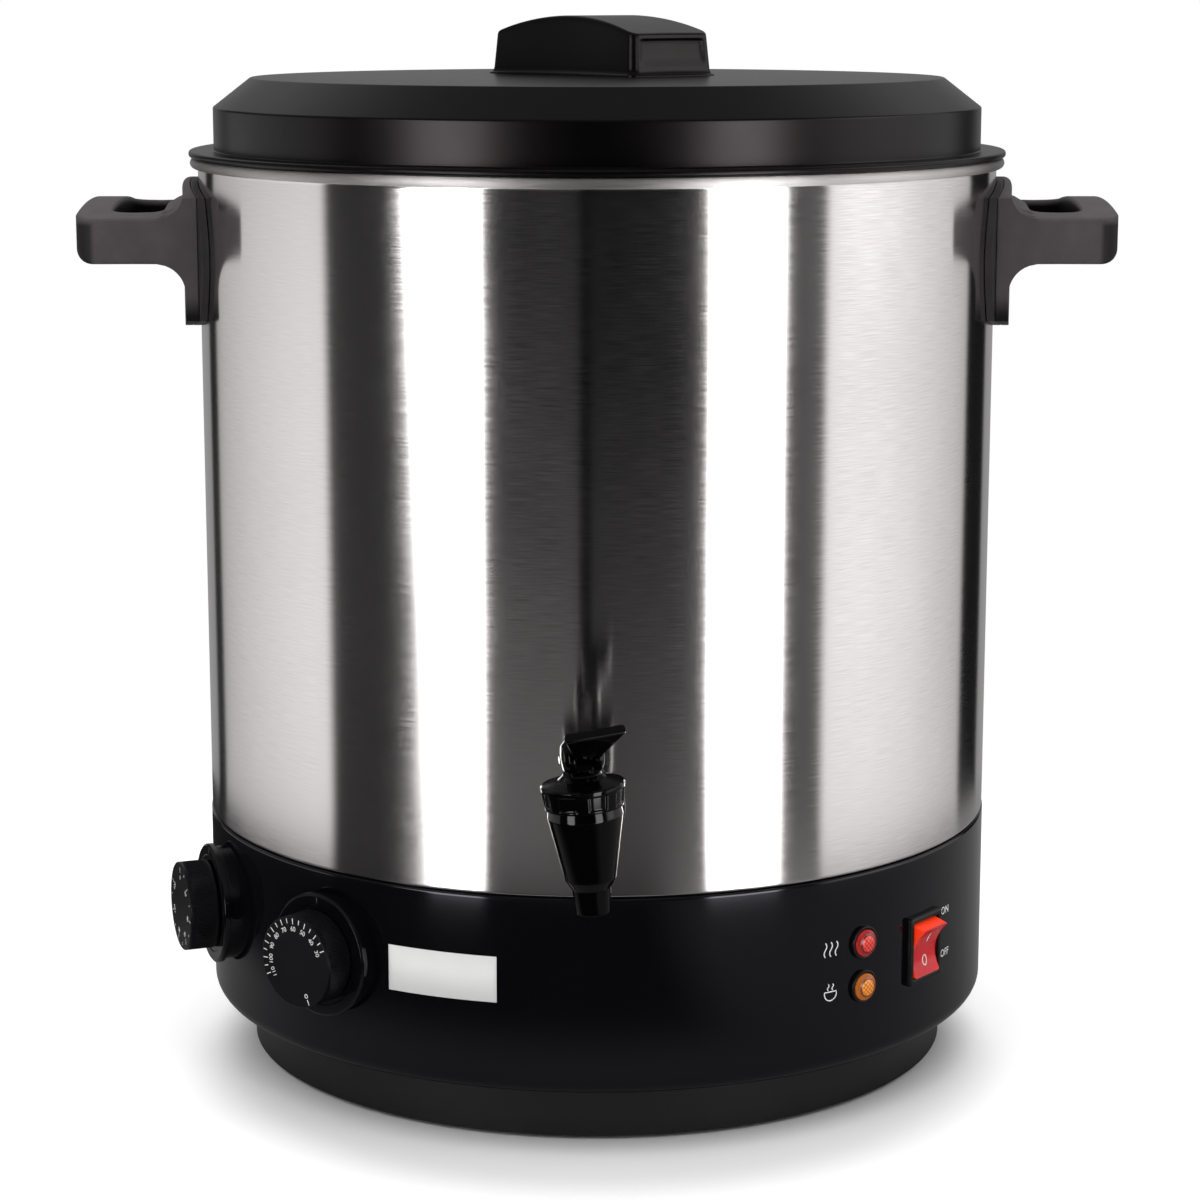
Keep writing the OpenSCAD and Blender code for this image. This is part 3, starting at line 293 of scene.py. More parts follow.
class Tree:
    """A node tree that is filled by expressions."""

    def __init__(self, tree):
        self.tree = tree

    def fill(self, node, sockets):
        """Links or values for a node's sockets, by name or number."""
        for key, value in sockets.items():
            if isinstance(value, Value):
                self.tree.links.new(value.socket, node.inputs[key])
            else:
                node.inputs[key].default_value = value

    def node(self, kind, settings={}, sockets={}, out=0):
        """A new node of a kind, its settings, its sockets, and the output that is wanted."""
        node = self.tree.nodes.new("ShaderNode" + kind)
        for key, value in settings.items():
            if key == "stops":
                ramp = node.color_ramp.elements
                while len(ramp) < len(value):
                    ramp.new(0.5)
                for stop, (place, colour) in zip(ramp, value):
                    stop.position, stop.color = place, colour
            else:
                setattr(node, key, value)
        self.fill(node, sockets)
        return Value(self, node.outputs[out])

    def maths(self, operation, *values):
        """A Math node on numbers."""
        return self.node("Math", {"operation": operation}, dict(enumerate(values)))

    def distance(self, a, b):
        """Square root of a a + b b."""
        return self.maths("SQRT", a * a + b * b)

    def larger(self, a, b):
        """The larger of two numbers."""
        return self.maths("MAXIMUM", a, b)

    def step(self, value, low, high):
        """0 below low, 1 above high, and a smooth step between them."""
        return self.node("MapRange", {"interpolation_type": "SMOOTHSTEP"}, {0: value, 1: low, 2: high})

    def drop(self, value, low, high):
        """1 below low and 0 above high: one minus the step."""
        return 1.0 - self.step(value, low, high)

    def mix(self, factor, a, b):
        """Colour a where factor is 0 and colour b where it is 1."""
        return self.node("Mix", {"data_type": "RGBA"}, {0: factor, 6: a, 7: b}, out=2)

    def place(self, kind=3):
        """The point's x, y and z in metres; kind 0 gives the direction in a world."""
        where = self.node("TexCoord", out=kind)
        return [self.node("SeparateXYZ", sockets={0: where}, out=i) for i in range(3)]

    def noise(self, x, y, z, detail=2.0):
        """Smooth noise from 0 to 1 that changes over a distance of about 1."""
        where = self.node("CombineXYZ", sockets={0: x, 1: y, 2: z})
        return self.node("TexNoise", sockets={"Vector": where, "Scale": 1.0, "Detail": detail})


class Finish(Tree):
    """A material: a Principled shader with constants, and patterns linked where they vary."""

    def __init__(self, name, colour, roughness, **constants):
        self.material = bpy.data.materials.new(name)
        self.material.use_nodes = True
        super().__init__(self.material.node_tree)
        self.shader = self.tree.nodes["Principled BSDF"]
        self.wear({"Base Color": (*colour, 1), "Roughness": roughness})
        self.wear({key.replace("_", " "): value for key, value in constants.items()})

    def wear(self, sockets):
        """Values or patterns for the shader's sockets."""
        self.fill(self.shader, sockets)

    def relief(self, height, depth, strength):
        """Bump: height from 0 to 1 stands for depth metres."""
        bump = self.node("Bump", sockets={"Strength": strength, "Distance": depth, "Height": height})
        self.wear({"Normal": bump})


def shade(colour, k=1.0):
    """A colour times k, with alpha."""
    return (*[c * k for c in colour], 1)


def plain_grey(level):
    """A colour of three equal parts, with alpha."""
    return shade((level, level, level))


BLACK = plain_grey(0.0)

# %% [markdown]
# ## Finishes
# **Steel.** The sheet was brushed before it was rolled, so fine lines run round the pot. They
# are noise that is stretched along the angle and very short in height. The lines spread a
# reflection upwards and downwards but hardly sideways, which the shader's anisotropy gives,
# turned by a quarter because its own direction runs round the pot. Rolling dulls the rim.

# %% Steel
RIM_LOW, RIM_HIGH, RIM_DULL = 0.4053, 0.4058, 0.42


def brushed_steel(name, colour=(0.668, 0.638, 0.632), roughness=0.145, fineness=2900.0):
    """Lines run round the z axis: noise of angle, height and radius, about 1 / fineness metres
    high, sets tone, gloss and relief. A slow noise clouds the tone."""
    f = Finish(name, colour, roughness, Metallic=1.0, Anisotropic=0.9, Anisotropic_Rotation=0.25)
    x, y, z = f.place()
    angle = f.maths("ARCTAN2", x, -y)
    reach = f.distance(x, y)
    lines = f.noise(angle * 14.0, z * fineness, reach * fineness, 3.0)
    cloud = f.noise(angle * 5.0, z * 16.0, reach * 9.0)
    tone = f.step(lines * 0.75 + cloud * 0.25, 0.3, 0.7)
    f.gloss = roughness - 0.025 + 0.05 * tone
    f.wear({"Base Color": f.mix(tone, shade(colour, 0.91), shade(colour, 1.06)), "Roughness": f.gloss})
    f.relief(lines, 0.000006, 0.3)
    return f


steel = brushed_steel("brushed_steel")
rolled_rim = steel.step(steel.place()[2], RIM_LOW, RIM_HIGH)
steel.wear({"Roughness": steel.gloss + RIM_DULL * rolled_rim})
zinc = brushed_steel("zinc_plate", (0.62, 0.62, 0.6), 0.3, 1500.0)
aluminium = brushed_steel("rolled_aluminium", (0.75, 0.75, 0.75), 0.35, 900.0)
copper = brushed_steel("drawn_copper", (0.7, 0.38, 0.24), 0.3, 900.0)
brass = brushed_steel("stamped_brass", (0.72, 0.55, 0.27), 0.3, 900.0)
heater_steel = brushed_steel("heater_sheath", (0.24, 0.23, 0.22), 0.45, 700.0)
print(len(bpy.data.materials), "finishes so far")

# %% [markdown]
# **Moulded plastic.** Every black part is plastic with its own gloss. The mould's fine spark
# grain is noise well under a millimetre across; a slower noise changes the gloss a little, as
# handling and dust do. Glossy parts have hardly any grain but a faint waviness.

# %% Plastics


def moulded(name, colour, roughness, grain=0.0004, depth=0.00002, wave=0.01, tone=0.12, **constants):
    """Grain: noise of place / grain size, for relief and tone. Gloss wanders over wave metres."""
    f = Finish(name, colour, roughness, **constants)
    x, y, z = f.place()
    spark = f.noise(x / grain, y / grain, z / grain, 1.0)
    slow = f.noise(x / wave, y / wave, z / wave, 3.0)
    uneven = f.step(slow * 0.6 + spark * 0.4, 0.3, 0.7)
    f.colour = f.mix(uneven, shade(colour, 1 - tone), shade(colour, 1 + tone))
    gloss = roughness * 0.88 + (slow * 0.16 + spark * 0.08) * roughness
    f.wear({"Base Color": f.colour, "Roughness": gloss})
    f.relief(spark, depth, 0.35)
    return f


WARM, COOL = (1.0, 0.88, 0.9, 1), (0.92, 0.9, 1.0, 1)
FINE_GRAIN, WAVY = 0.000008, 0.000004
lid_satin = moulded("lid_satin_black", (0.0008, 0.0007, 0.0007), 0.29, depth=FINE_GRAIN,
                    Specular_IOR_Level=0.2, Specular_Tint=WARM)
grip_satin = moulded("grip_satin_black", (0.0008, 0.0007, 0.0007), 0.32, depth=FINE_GRAIN,
                     Specular_IOR_Level=0.2, Specular_Tint=WARM)
handle_satin = moulded("handle_satin_grey", (0.084, 0.0755, 0.0795), 0.44, depth=0.000018,
                       Specular_IOR_Level=0.04)
spacer_satin = moulded("spacer_satin_black", (0.036, 0.034, 0.034), 0.42, Specular_IOR_Level=0.05)
base_gloss = moulded("base_gloss_black", (0.0024, 0.0023, 0.0032), 0.09, 0.003, WAVY, 0.05,
                     Specular_IOR_Level=0.35, Specular_Tint=COOL)
pan_satin = moulded("plinth_satin_black", (0.011, 0.011, 0.011), 0.26, 0.0006, Specular_IOR_Level=0.45)
knob_satin = moulded("knob_satin_black", (0.003, 0.003, 0.0036), 0.36,
                     Specular_IOR_Level=0.25, Specular_Tint=COOL)
tap_gloss = moulded("tap_gloss_black", (0.0008, 0.0008, 0.0008), 0.08, 0.002, WAVY, 0.02,
                    Specular_IOR_Level=0.2)
switch_black = moulded("switch_black", (0.003, 0.003, 0.003), 0.3, 0.0003, Specular_IOR_Level=0.25)
rubber = moulded("rubber_black", (0.012, 0.012, 0.012), 0.75, 0.0003)
silicone = moulded("silicone_white", (0.7, 0.7, 0.67), 0.5)
ivory = moulded("moulded_ivory", (0.72, 0.68, 0.56), 0.45)
ceramic = moulded("cutout_ceramic", (0.6, 0.5, 0.36), 0.7, 0.0005)
wire_skin = moulded("wire_sleeve_red", (0.35, 0.03, 0.02), 0.5)
white_ink = moulded("white_ink", (0.84, 0.84, 0.83), 0.5, 0.0002, 0.000002, tone=0.01)
paper = moulded("label_white", (0.78, 0.78, 0.77), 0.6, 0.0004, 0.000002, tone=0.01, Specular_IOR_Level=0.05)
print(len(bpy.data.materials), "finishes so far")

# %% [markdown]
# **Shade on the handles.** The photograph's light leaves the finger holes nearly black, and the
# handles' rounded ends and the plates' lower tips much darker than their sides. The room below
# is softer than that, so the finish helps: one mask is 1 between the hole's four walls and ends
# under the crowned top, the others cover the outer ends and the lower tips. The marks on the
# dials' plates share this finish; they lie lower than the tips' mask reaches.

# %% Shade on the handles
CROWN_BEND, HOLE_MIDDLE = 2.03, 0.2035
x, y, z = handle_satin.place()
below_crown = handle_satin.drop(z + CROWN_BEND * y * y, 0.3875, 0.3902)
hole = (below_crown * handle_satin.drop(abs(abs(x) - HOLE_MIDDLE), 0.0117, 0.0122)
        * handle_satin.drop(abs(y), 0.0432, 0.0437))
end = 0.78 * handle_satin.step(abs(x), 0.2205, 0.2235) * handle_satin.drop(z, 0.3815, 0.3845)
tip = 0.92 * handle_satin.step(z, 0.2, 0.21) * handle_satin.drop(z, 0.341, 0.353)
shaded = handle_satin.larger(handle_satin.larger(hole, end), tip)
handle_satin.wear({"Base Color": handle_satin.mix(shaded, handle_satin.colour, plain_grey(0.004))})
print(len(handle_satin.tree.nodes), "nodes in the handles' finish")

# %% [markdown]
# ** Red and amber.** The rocker and the lamp lenses are clear coloured plastic. A lens has a
# ring and a fine pattern of prisms behind its front, which shows as rings and dots of lighter
# colour. Distances are taken in the lamp's own plane, so the pattern sits on its middle. The
# rocker's upper end and left side carry painted light: a lighter red and a faint glow.

# %% Clear plastics


def along_wall(x, y, matrix):
    """Metres along the wall from a frame's middle: the place's dot product with the frame's x."""
    along, centre = matrix[:2, 0], matrix[:2, 3] * MM
    return (x - centre[0]) * along[0] + (y - centre[1]) * along[1]


def lens_finish(name, matrix, deep, bright):
    """Groove: a band of the radius in the lamp's plane; dots: a product of sines along x and y."""
    f = Finish(name, deep, 0.25, Coat_Weight=0.25, Coat_Roughness=0.1)
    x, y, z = f.place()
    u = along_wall(x, y, matrix) * 1000.0
    v = (z - matrix[2, 3] * MM) * 1000.0
    r = f.distance(u, v)
    groove = f.step(r, 3.5, 3.8) * f.drop(r, 4.0, 4.5)
    dots = f.step(f.maths("SINE", u * 3.0) * f.maths("SINE", v * 3.0), -0.3, 0.5)
    glow = f.drop(r, 3.4, 3.6) * (0.2 + 0.8 * dots) + 0.08 * f.step(r, 4.8, 5.1)
    colour = f.mix(glow, shade(deep), shade(bright))
    f.wear({"Base Color": f.mix(groove, colour, shade(deep, 0.3))})
    f.wear({"Emission Color": f.mix(glow, BLACK, shade(bright, 0.3)), "Emission Strength": 0.6})
    f.relief(1.0 - groove + dots * 0.2, 0.0002, 0.5)
    return f


lens_finishes = {
    "red": lens_finish("lens_red", LAMPS["red"], (0.35, 0.008, 0.006), (0.85, 0.06, 0.04)),
    "amber": lens_finish("lens_amber", LAMPS["amber"], (0.42, 0.1, 0.004), (0.9, 0.3, 0.02)),
}
rocker_red = moulded("rocker_red", (0.62, 0.012, 0.018), 0.2, 0.0008, 0.000005, 0.01, Specular_IOR_Level=0.4)
x, y, z = rocker_red.place()
# Painted light: the rocker's upper end and left side get a lighter red and a faint glow.
upper_end = rocker_red.step(z, 0.0802, 0.0807)
left_side = rocker_red.step(-along_wall(x, y, SWITCH), 0.0091, 0.0094)
painted_edge_light = rocker_red.larger(upper_end, left_side)
rocker_red.wear({"Base Color": rocker_red.mix(painted_edge_light, rocker_red.colour, (0.9, 0.03, 0.008, 1))})
rocker_red.wear({"Emission Color": rocker_red.mix(painted_edge_light, BLACK, (0.3, 0.02, 0.003, 1))})
rocker_red.wear({"Emission Strength": 1.0})
print(len(bpy.data.materials), "finishes in all")

# %% [markdown]
# ## The solids that keep their own shape
# Inner parts, screws and nuts are right as they are. They only get the finish of their slot.

# %% Finishes of the solids
SLOT_FINISH = {
    "steel": steel, "lid_plastic": lid_satin, "handle_plastic": handle_satin,
    "spacer_plastic": spacer_satin, "base_gloss": base_gloss, "pan_plastic": pan_satin,
    "rubber": rubber, "silicone": silicone, "zinc_steel": zinc, "heater_steel": heater_steel,
    "aluminium": aluminium, "copper": copper, "ivory_plastic": ivory, "cutout_ceramic": ceramic,
    "knob_plastic": knob_satin, "switch_plastic": switch_black, "brass": brass,
    "red_plastic": rocker_red, "red_lens": lens_finishes["red"], "amber_lens": lens_finishes["amber"],
    "tap_gloss": tap_gloss, "wire_skin": wire_skin,
}
for part in frame["record"]["subparts"]:
    nodes[part["node"]].material_slots[0].material = SLOT_FINISH[part["material_slot"]].material

# %% [markdown]
# ## The pot
# One closed profile goes round the axis: the foot that turns in, the outer wall, the rolled
# rim and the inner wall. A lathed surface has exact normals, which a mirror-like wall needs:
# flat facets would break the reflections into strips.

# %% Pot
POT_IN, FOOT_IN, FOOT_LOW = 179, 167, 113
rim_x, rim_z, rim_r = 181.3, 407.8, 2.2
bead = np.radians(np.linspace(-124, 178, 28))
pot_profile = np.concatenate([
    rounded([(FOOT_IN, FOOT_LOW), (POT_R, FOOT_LOW, 0.8), (POT_R, 300)], closed=False),
    [(POT_R, 404.5), (POT_R, 405.6)],
    np.stack([rim_x + rim_r * np.cos(bead), rim_z + rim_r * np.sin(bead)], 1),
    [(POT_IN, 406.4), (POT_IN, 405), (POT_IN, 300)],
    rounded([(POT_IN, 200), (POT_IN, FOOT_LOW + 1, 0.5), (FOOT_IN, FOOT_LOW + 1)], closed=False),
])
piece("pot_wall", [lathe(pot_profile, 360)], steel, "steel", stands_for=["pot_shell"], closed=True)

# %% [markdown]
# ## The lid
# Its brim rests on the rim, an upright wall and a bevel follow, and the top rises a little to
# the middle. All its edges are slightly round, as on any moulding, and catch a line of light.

# %% Lid
LID = 410.3
BRIM_R, LID_R, LID_IN, DOME_R = 184, 172.8, 170.3, 150
dome = np.linspace(0, 1, 12)[1:]
lid_top = np.stack([DOME_R - 93 * dome, LID + 34.97 + 0.93 * np.sin(pi / 2 * dome)], 1)
outer = rounded([(LID_IN, LID), (BRIM_R, LID, 1.4), (BRIM_R, LID + 3, 1.2), (LID_R, LID + 3, 0.5),
                 (LID_R, LID + 21.9, 1.2), (156, LID + 34.9, 1.5), (DOME_R, LID + 34.97)], closed=False)
inner = rounded([(57, LID + 33.4), (DOME_R, LID + 32.5, 2), (154.4, LID + 32.3, 2),
                 (LID_IN, LID + 20.1, 2), (LID_IN, LID)], closed=False)
lid_profile = np.concatenate([outer, lid_top, [(0, LID + 35.9), (0, LID + 33.4)], inner])
piece("lid", [lathe(lid_profile, 300)], lid_satin, "lid_plastic", "lid", ["lid_shell"])

# %% [markdown]
# ## The lid's grip
# Seen from above the grip is a rounded bar with scooped long sides; seen from the side its top
# is cambered. One outline is lofted upwards: it flares out at the foot, draws in slightly, and
# its upper edge follows the camber before the outline shrinks to the middle line. A shallow
# panel is let into each short end.

# %% Grip outline
GRIP = shift(1.5, 0, LID + 35.9) @ turn("z", -49)
GRIP_L, GRIP_W, GRIP_TOP, GRIP_CORNER, GRIP_RISE = 49.0, 24.0, 26.195, 4, 8.2
grip_camber_r = GRIP_L ** 2 / (2 * GRIP_RISE) + GRIP_RISE / 2


def camber(x):
    """Height of the grip's top: an arc along its length."""
    return GRIP_TOP - grip_camber_r + np.sqrt(grip_camber_r ** 2 - x ** 2)


plan = rounded(rectangle(GRIP_L, GRIP_W, GRIP_CORNER), steps=10)
along = np.linspace(0, 1, 41)[1:-1, None]
stretches = [np.concatenate([a[None], a + (b - a) * along]) if np.linalg.norm(b - a) > 8 else a[None]
             for a, b in zip(plan, np.roll(plan, -1, 0))]
plan = np.concatenate(stretches)
scoop = 2.5 * np.cos(np.clip(plan[:, 0] / GRIP_L, -1, 1) * pi / 2) ** 1.5 * (np.abs(plan[:, 1]) > 17)
plan[:, 1] -= np.sign(plan[:, 1]) * scoop
inward = np.clip((GRIP_W - 3.0 - np.abs(plan[:, 1])) / 4.0, 0, 1)
recess = inward ** 2 * (3 - 2 * inward) * (np.abs(plan[:, 0]) > GRIP_L - 4)
away = plan / np.array([GRIP_L, GRIP_W])
away = away / np.linalg.norm(away, axis=1, keepdims=True)
print(len(plan), "points round the grip")

# %% Grip


def grip_row(out, low, share, panel_in=0.0):
    """Outline moved out by out, at height low plus a share of the room up to the camber. Its
    short ends are drawn in by panel_in, except near their corners."""
    flat = plan + away * out
    flat[:, 0] -= np.sign(plan[:, 0]) * recess * panel_in
    edge = camber(np.clip(flat[:, 0], -GRIP_L, GRIP_L))
    return np.column_stack([flat, low + share * (edge - low)])


def panel_depth(t):
    """Depth of the end panels at a share t of the height: a quick rise, and a cosine's fall."""
    return 0.7 * min(t / 0.3, 1.0) * cos(pi / 2 * max(t - 0.76, 0) / 0.12) ** 2


flare = np.linspace(0, pi / 2, 7)
rows = [grip_row(2.0, 0, 0), grip_row(2.0, 0.5, 0)]
rows += [grip_row(2.0 - 2.2 * sin(a), 0.5 + 3.5 * (1 - cos(a)), 0) for a in flare[1:]]
rows += [grip_row(-0.2 - 1.6 * t, 4, t, panel_depth(t))
         for t in (0.02, 0.1, 0.2, 0.3, 0.5, 0.65, 0.76, 0.79, 0.82, 0.84, 0.86, 0.88)]
rows += [grip_row(-1.75 - 1.3 * (1 - cos(a)), 4, 0.93 + 0.07 * sin(a)) for a in flare]
for shrink in (0.97, 0.9, 0.75, 0.5, 0.25, 0.0):
    top = (plan - away * 3.05) * shrink
    rows.append(np.column_stack([top, camber(top[:, 0])]))
grip_grid = np.array([rows[0] * (0, 0, 1)] + rows)
piece("grip", [placed(grip_grid, GRIP)], grip_satin, "lid_plastic", "lid", ["lid_grip"])

# %% [markdown]
# ## The side handles
# A handle is a ring to put the fingers through, in front of a plate that is screwed to the pot
# with a heat spacer between. The ring is swept between two outlines, the finger hole and the
# outer edge: a small rounded section goes round the hole, wide or narrow as the room allows.

# %% Handle ring
ARM_LOW, ARM_TOP, PLATE_LOW, PLATE_TOP = 365.0, 385.0, 334.0, 400.0
HOLE_IN, HOLE_OUT, HOLE_Y, HOLE_R = 192.0, 215.0, 43.0, 8.0
HALF, CROWN = 54.0, 6.0
crown_r = HALF ** 2 / (2 * CROWN) + CROWN / 2


def fall(y):
    """How far a crowned edge has fallen at a distance y from its middle."""
    return crown_r - np.sqrt(crown_r ** 2 - y ** 2)


def soft_square(reach_s, reach_t, steps=5):
    """Closed square outline from -1 to 1 with elliptic corners; the reaches are columns."""
    corner = np.arange(4)[:, None] * pi / 2
    a = np.linspace(0, pi / 2, steps + 1)[None] + corner
    tilt = pi / 4 + corner + 0 * a
    sx, sy = np.sign(np.cos(tilt)).ravel(), np.sign(np.sin(tilt)).ravel()
    s = sx * (1 - reach_s) + reach_s * np.cos(a).ravel()
    t = sy * (1 - reach_t) + reach_t * np.sin(a).ravel()
    return s, t


def ring_outline(x1, x2, y, r1, r2, steps=12, straight=24):
    """Rounded rectangle with equally many points on each side and each corner."""
    corners = [(x2, -y, r2), (x2, y, r2), (x1, y, r1), (x1, -y, r1)]
    signs = [(-1, 1), (-1, -1), (1, -1), (1, 1)]
    arcs = []
    for k, ((cx, cy, r), (sx, sy)) in enumerate(zip(corners, signs)):
        a = np.linspace(-pi / 2, 0, steps + 1) + k * pi / 2
        arcs.append(np.stack([cx + sx * r + r * np.cos(a), cy + sy * r + r * np.sin(a)], 1))
    t = np.linspace(0, 1, straight + 2)[1:-1, None]
    return np.concatenate([np.concatenate([arc, arc[-1] + (nxt[0] - arc[-1]) * t])
                           for arc, nxt in zip(arcs, arcs[1:] + arcs[:1])])


def handle_ring(edge_round=1.5):
    """Section points lie between the hole's outline and the outer one, and between the underside
    and the crowned top. The underside rises along a quarter ellipse at the outer end. The side
    towards the pot ends inside the plate."""
    hole = ring_outline(HOLE_IN, HOLE_OUT, HOLE_Y, HOLE_R, HOLE_R)[:, None]
    edge = ring_outline(178, 230, HALF - 0.015, 0.5, 9)[:, None]
    wide = np.linalg.norm(edge - hole, axis=2)
    s, t = soft_square(edge_round * 2 / wide, edge_round * 2 / 22)
    flat = hole + (edge - hole) * (s[..., None] + 1) / 2
    x, y = flat[..., 0], flat[..., 1]
    x = np.maximum(x, np.sqrt(185.5 ** 2 - y ** 2))
    low = ARM_LOW + 6.4 * (1 - np.sqrt(1 - np.clip((x - 222) / 8, 0, 1) ** 2))
    top = ARM_TOP + CROWN - fall(y)
    return np.stack([x, y, low + (top - low) * (t + 1) / 2], -1)


loop_grid = looped(handle_ring())
print(loop_grid.shape[:2], "rows and columns in a handle's ring")

# %% [markdown]
# The plate is a slab whose front swells towards the ring along quarter circles, which gives the
# soft blends above and below the arms. The ring's sides lie a hair inside the plate's, so that
# no two faces share a plane. The spacer is the same slab, thinner and with bulging sides.

# %% Plates and spacers
UNDER_R, OVER_R, ARM_MIDDLE = 13, 12, 375


def round_wall(radius):
    """x of a wall of that radius about the pot's axis, at a distance y to the side."""
    return lambda y, z: np.sqrt(radius ** 2 - y ** 2)


def plate_front(y, z):
    """x of the plate's front: a gentle swell, or the blends where they stand out further.
    A blend of radius r at a distance w from its end stands out by r - sqrt(r r - w w)."""
    start = sqrt(189.1 ** 2 - HALF ** 2)
    w_under = np.clip(z - ARM_LOW + UNDER_R, 0, UNDER_R)
    w_over = np.clip(ARM_TOP + CROWN - fall(y) + OVER_R - z, 0, OVER_R)
    under = start + UNDER_R - np.sqrt(UNDER_R ** 2 - w_under ** 2)
    over = start + OVER_R - np.sqrt(OVER_R ** 2 - w_over ** 2)
    corner = np.clip(np.abs(y) - HOLE_Y + HOLE_R, 0, HOLE_R)
    hole = HOLE_IN + HOLE_R - np.sqrt(HOLE_R ** 2 - corner ** 2) + 20 * (np.abs(y) > HOLE_Y)
    blend = np.minimum(np.where(z < ARM_MIDDLE, under, over), hole - 0.05)
    return np.maximum(start + 5 * (1 - (y / HALF) ** 2), blend)


def plate_outline(bulge, count=61):
    """Lower edge, side, upper edge and side: both edges crowned, the sides bulging by a sine."""
    t = np.linspace(0, 1, count)[:-1]
    y = HALF * (2 * t - 1)
    rise = PLATE_LOW + CROWN + (PLATE_TOP - PLATE_LOW - 2 * CROWN) * t
    lower = np.stack([y, PLATE_LOW + fall(y)], 1)
    upper = np.stack([-y, PLATE_TOP - fall(y)], 1)
    side = np.stack([HALF + bulge * np.sin(pi * t), rise], 1)
    back = np.stack([-side[:, 0], PLATE_LOW + PLATE_TOP - rise], 1)
    return np.concatenate([lower, side, upper, back])


def rim(edge):
    """Insets and depths along a quarter circle of a radius, and a little further down the side."""
    quarter = np.linspace(0, pi / 2, 6)
    return [(edge * (1 - sin(a)), edge * (1 - cos(a))) for a in quarter] + [(0, edge + 0.4)]


def slab(outline, front, back, front_edge, back_edge):
    """Solid over an outline in y and z, between x = back and x = front. Rows run from the
    middle of the back over the rims to the middle of the front; the edges round the rims."""
    middle = np.array([0, (PLATE_LOW + PLATE_TOP) / 2])
    size = np.linalg.norm(outline - middle, axis=1, keepdims=True)
    shares = np.linspace(0, 1, 30)[:-1] * (1 - 1.5 / size.max())

    def row(x_of, share, depth=0.0):
        """The outline drawn towards its middle, and moved along x by depth."""
        y, z = (middle + (outline - middle) * share).T
        return np.stack([x_of(y, z) + depth, y, z], 1)

    rows = [row(back, share) for share in shares]
    rows += [row(back, 1 - inset / size, depth) for inset, depth in rim(back_edge)]
    rows += [row(front, 1 - inset / size, -depth) for inset, depth in rim(front_edge)[::-1]]
    rows += [row(front, share) for share in shares[::-1]]
    return np.array(rows)


plate_grid = slab(plate_outline(0), plate_front, round_wall(183.6), 0.05, 0.4)
spacer_grid = slab(plate_outline(7), round_wall(183.4), round_wall(180.2), 0.3, 0.2)
for side, sign in (("left", -1), ("right", 1)):
    flip = np.array([sign, 1, 1])
    piece("handle_" + side + "_grip", [plate_grid * flip, loop_grid * flip], handle_satin,
          "handle_plastic", stands_for=["handle_" + side])
    piece("heat_spacer_" + side, [spacer_grid * flip], spacer_satin, "spacer_plastic",
          stands_for=["handle_spacer_" + side])

# %% [markdown]
# ## The base
# The housing is one more closed profile: a small lip at the top, the upright wall and a large
# round at the bottom. The two dials stand on round necks that grow out of the wall.

# %% Base
HOUSING_TOP, HOUSING_LOW, NECK_R = 112.4, 26, 25.5
housing_profile = rounded([(BASE_R, HOUSING_TOP, 1.0), (BASE_R, HOUSING_LOW, 7), (140.4, HOUSING_LOW, 0.5),
                           (140.4, 29, 0.5), (177.4, 29, 2), (177.4, HOUSING_TOP, 0.5)], steps=10)
neck_profile = rounded([(5.4, -5.5), (NECK_R, -5.5, 0.3), (NECK_R, 3.9, 0.3), (5.4, 3.9)], closed=False)
necks = [lathe(neck_profile, 144, matrix) for matrix in (TEMPERATURE, TIMER)]
piece("housing", [lathe(looped(housing_profile), 360), *necks], base_gloss, "base_gloss",
      stands_for=["base_housing"])

# %% [markdown]
# ## The dials
# A thin round plate carries each knob. The knob's side is knurled: its radius falls and rises
# with a triangle wave of the angle, fading out towards both edges. The temperature scale is
# printed on the face, white, and turns with the knob.

# %% Dials
TEETH, KNOB_R, KNOB_BACK, KNOB_FACE, DIAL_PLATE = 128, 20, 7.5, 20.5, 7.0
KNURL_LOW, KNURL_HIGH = 8.2, 19.7


def knurl(a, z, r):
    """Triangle wave of the angle, 0.32 mm deep, on the side between two heights."""
    wave = np.abs((a * TEETH / (2 * pi)) % 1.0 - 0.5) * 2
    on_side = np.clip((z - KNURL_LOW) / 0.5, 0, 1) * np.clip((KNURL_HIGH - z) / 0.5, 0, 1) * (r > 19.5)
    return -0.32 * wave ** 0.8 * on_side


bezel_profile = rounded([(9, 4), (27, 4, 0.2), (27, 6.3, 0.35), (26.1, DIAL_PLATE, 0.3),
                         (22.2, DIAL_PLATE, 0.3), (21.8, 6.7, 0.2), (9, 6.7)])
side_z = np.linspace(KNURL_LOW, KNURL_HIGH, 12)
knob_profile = np.concatenate([
    [(0, KNOB_BACK)],
    rounded([(8, KNOB_BACK), (KNOB_R, KNOB_BACK, 0.35), (KNOB_R, KNURL_LOW)], closed=False),
    np.stack([0 * side_z + KNOB_R, side_z], 1),
    rounded([(KNOB_R, 19.75), (KNOB_R, 20.2, 0.2), (19.65, KNOB_FACE, 0.25), (8, KNOB_FACE)], closed=False),
    [(0, KNOB_FACE)]])
for name, matrix in (("temperature", TEMPERATURE), ("timer", TIMER)):
    piece(name + "_plate", [lathe(looped(bezel_profile), 192, matrix)], base_gloss, "base_gloss",
          stands_for=[name + "_bezel"])
    piece(name + "_knob_knurled", [lathe(knob_profile, TEETH * 8, matrix, knurl)], knob_satin,
          "knob_plastic", name + "_dial", [name + "_knob"], sharp=60)

# %% [markdown]
# ## Print
# Words and ticks are flat shapes a few hundredths of a millimetre thick. Digits come from
# Blender's own font, made into meshes first; then every point is carried to its place, on a
# knob's face or bent round the base's wall.

# %% Print helpers
INK = 0.03


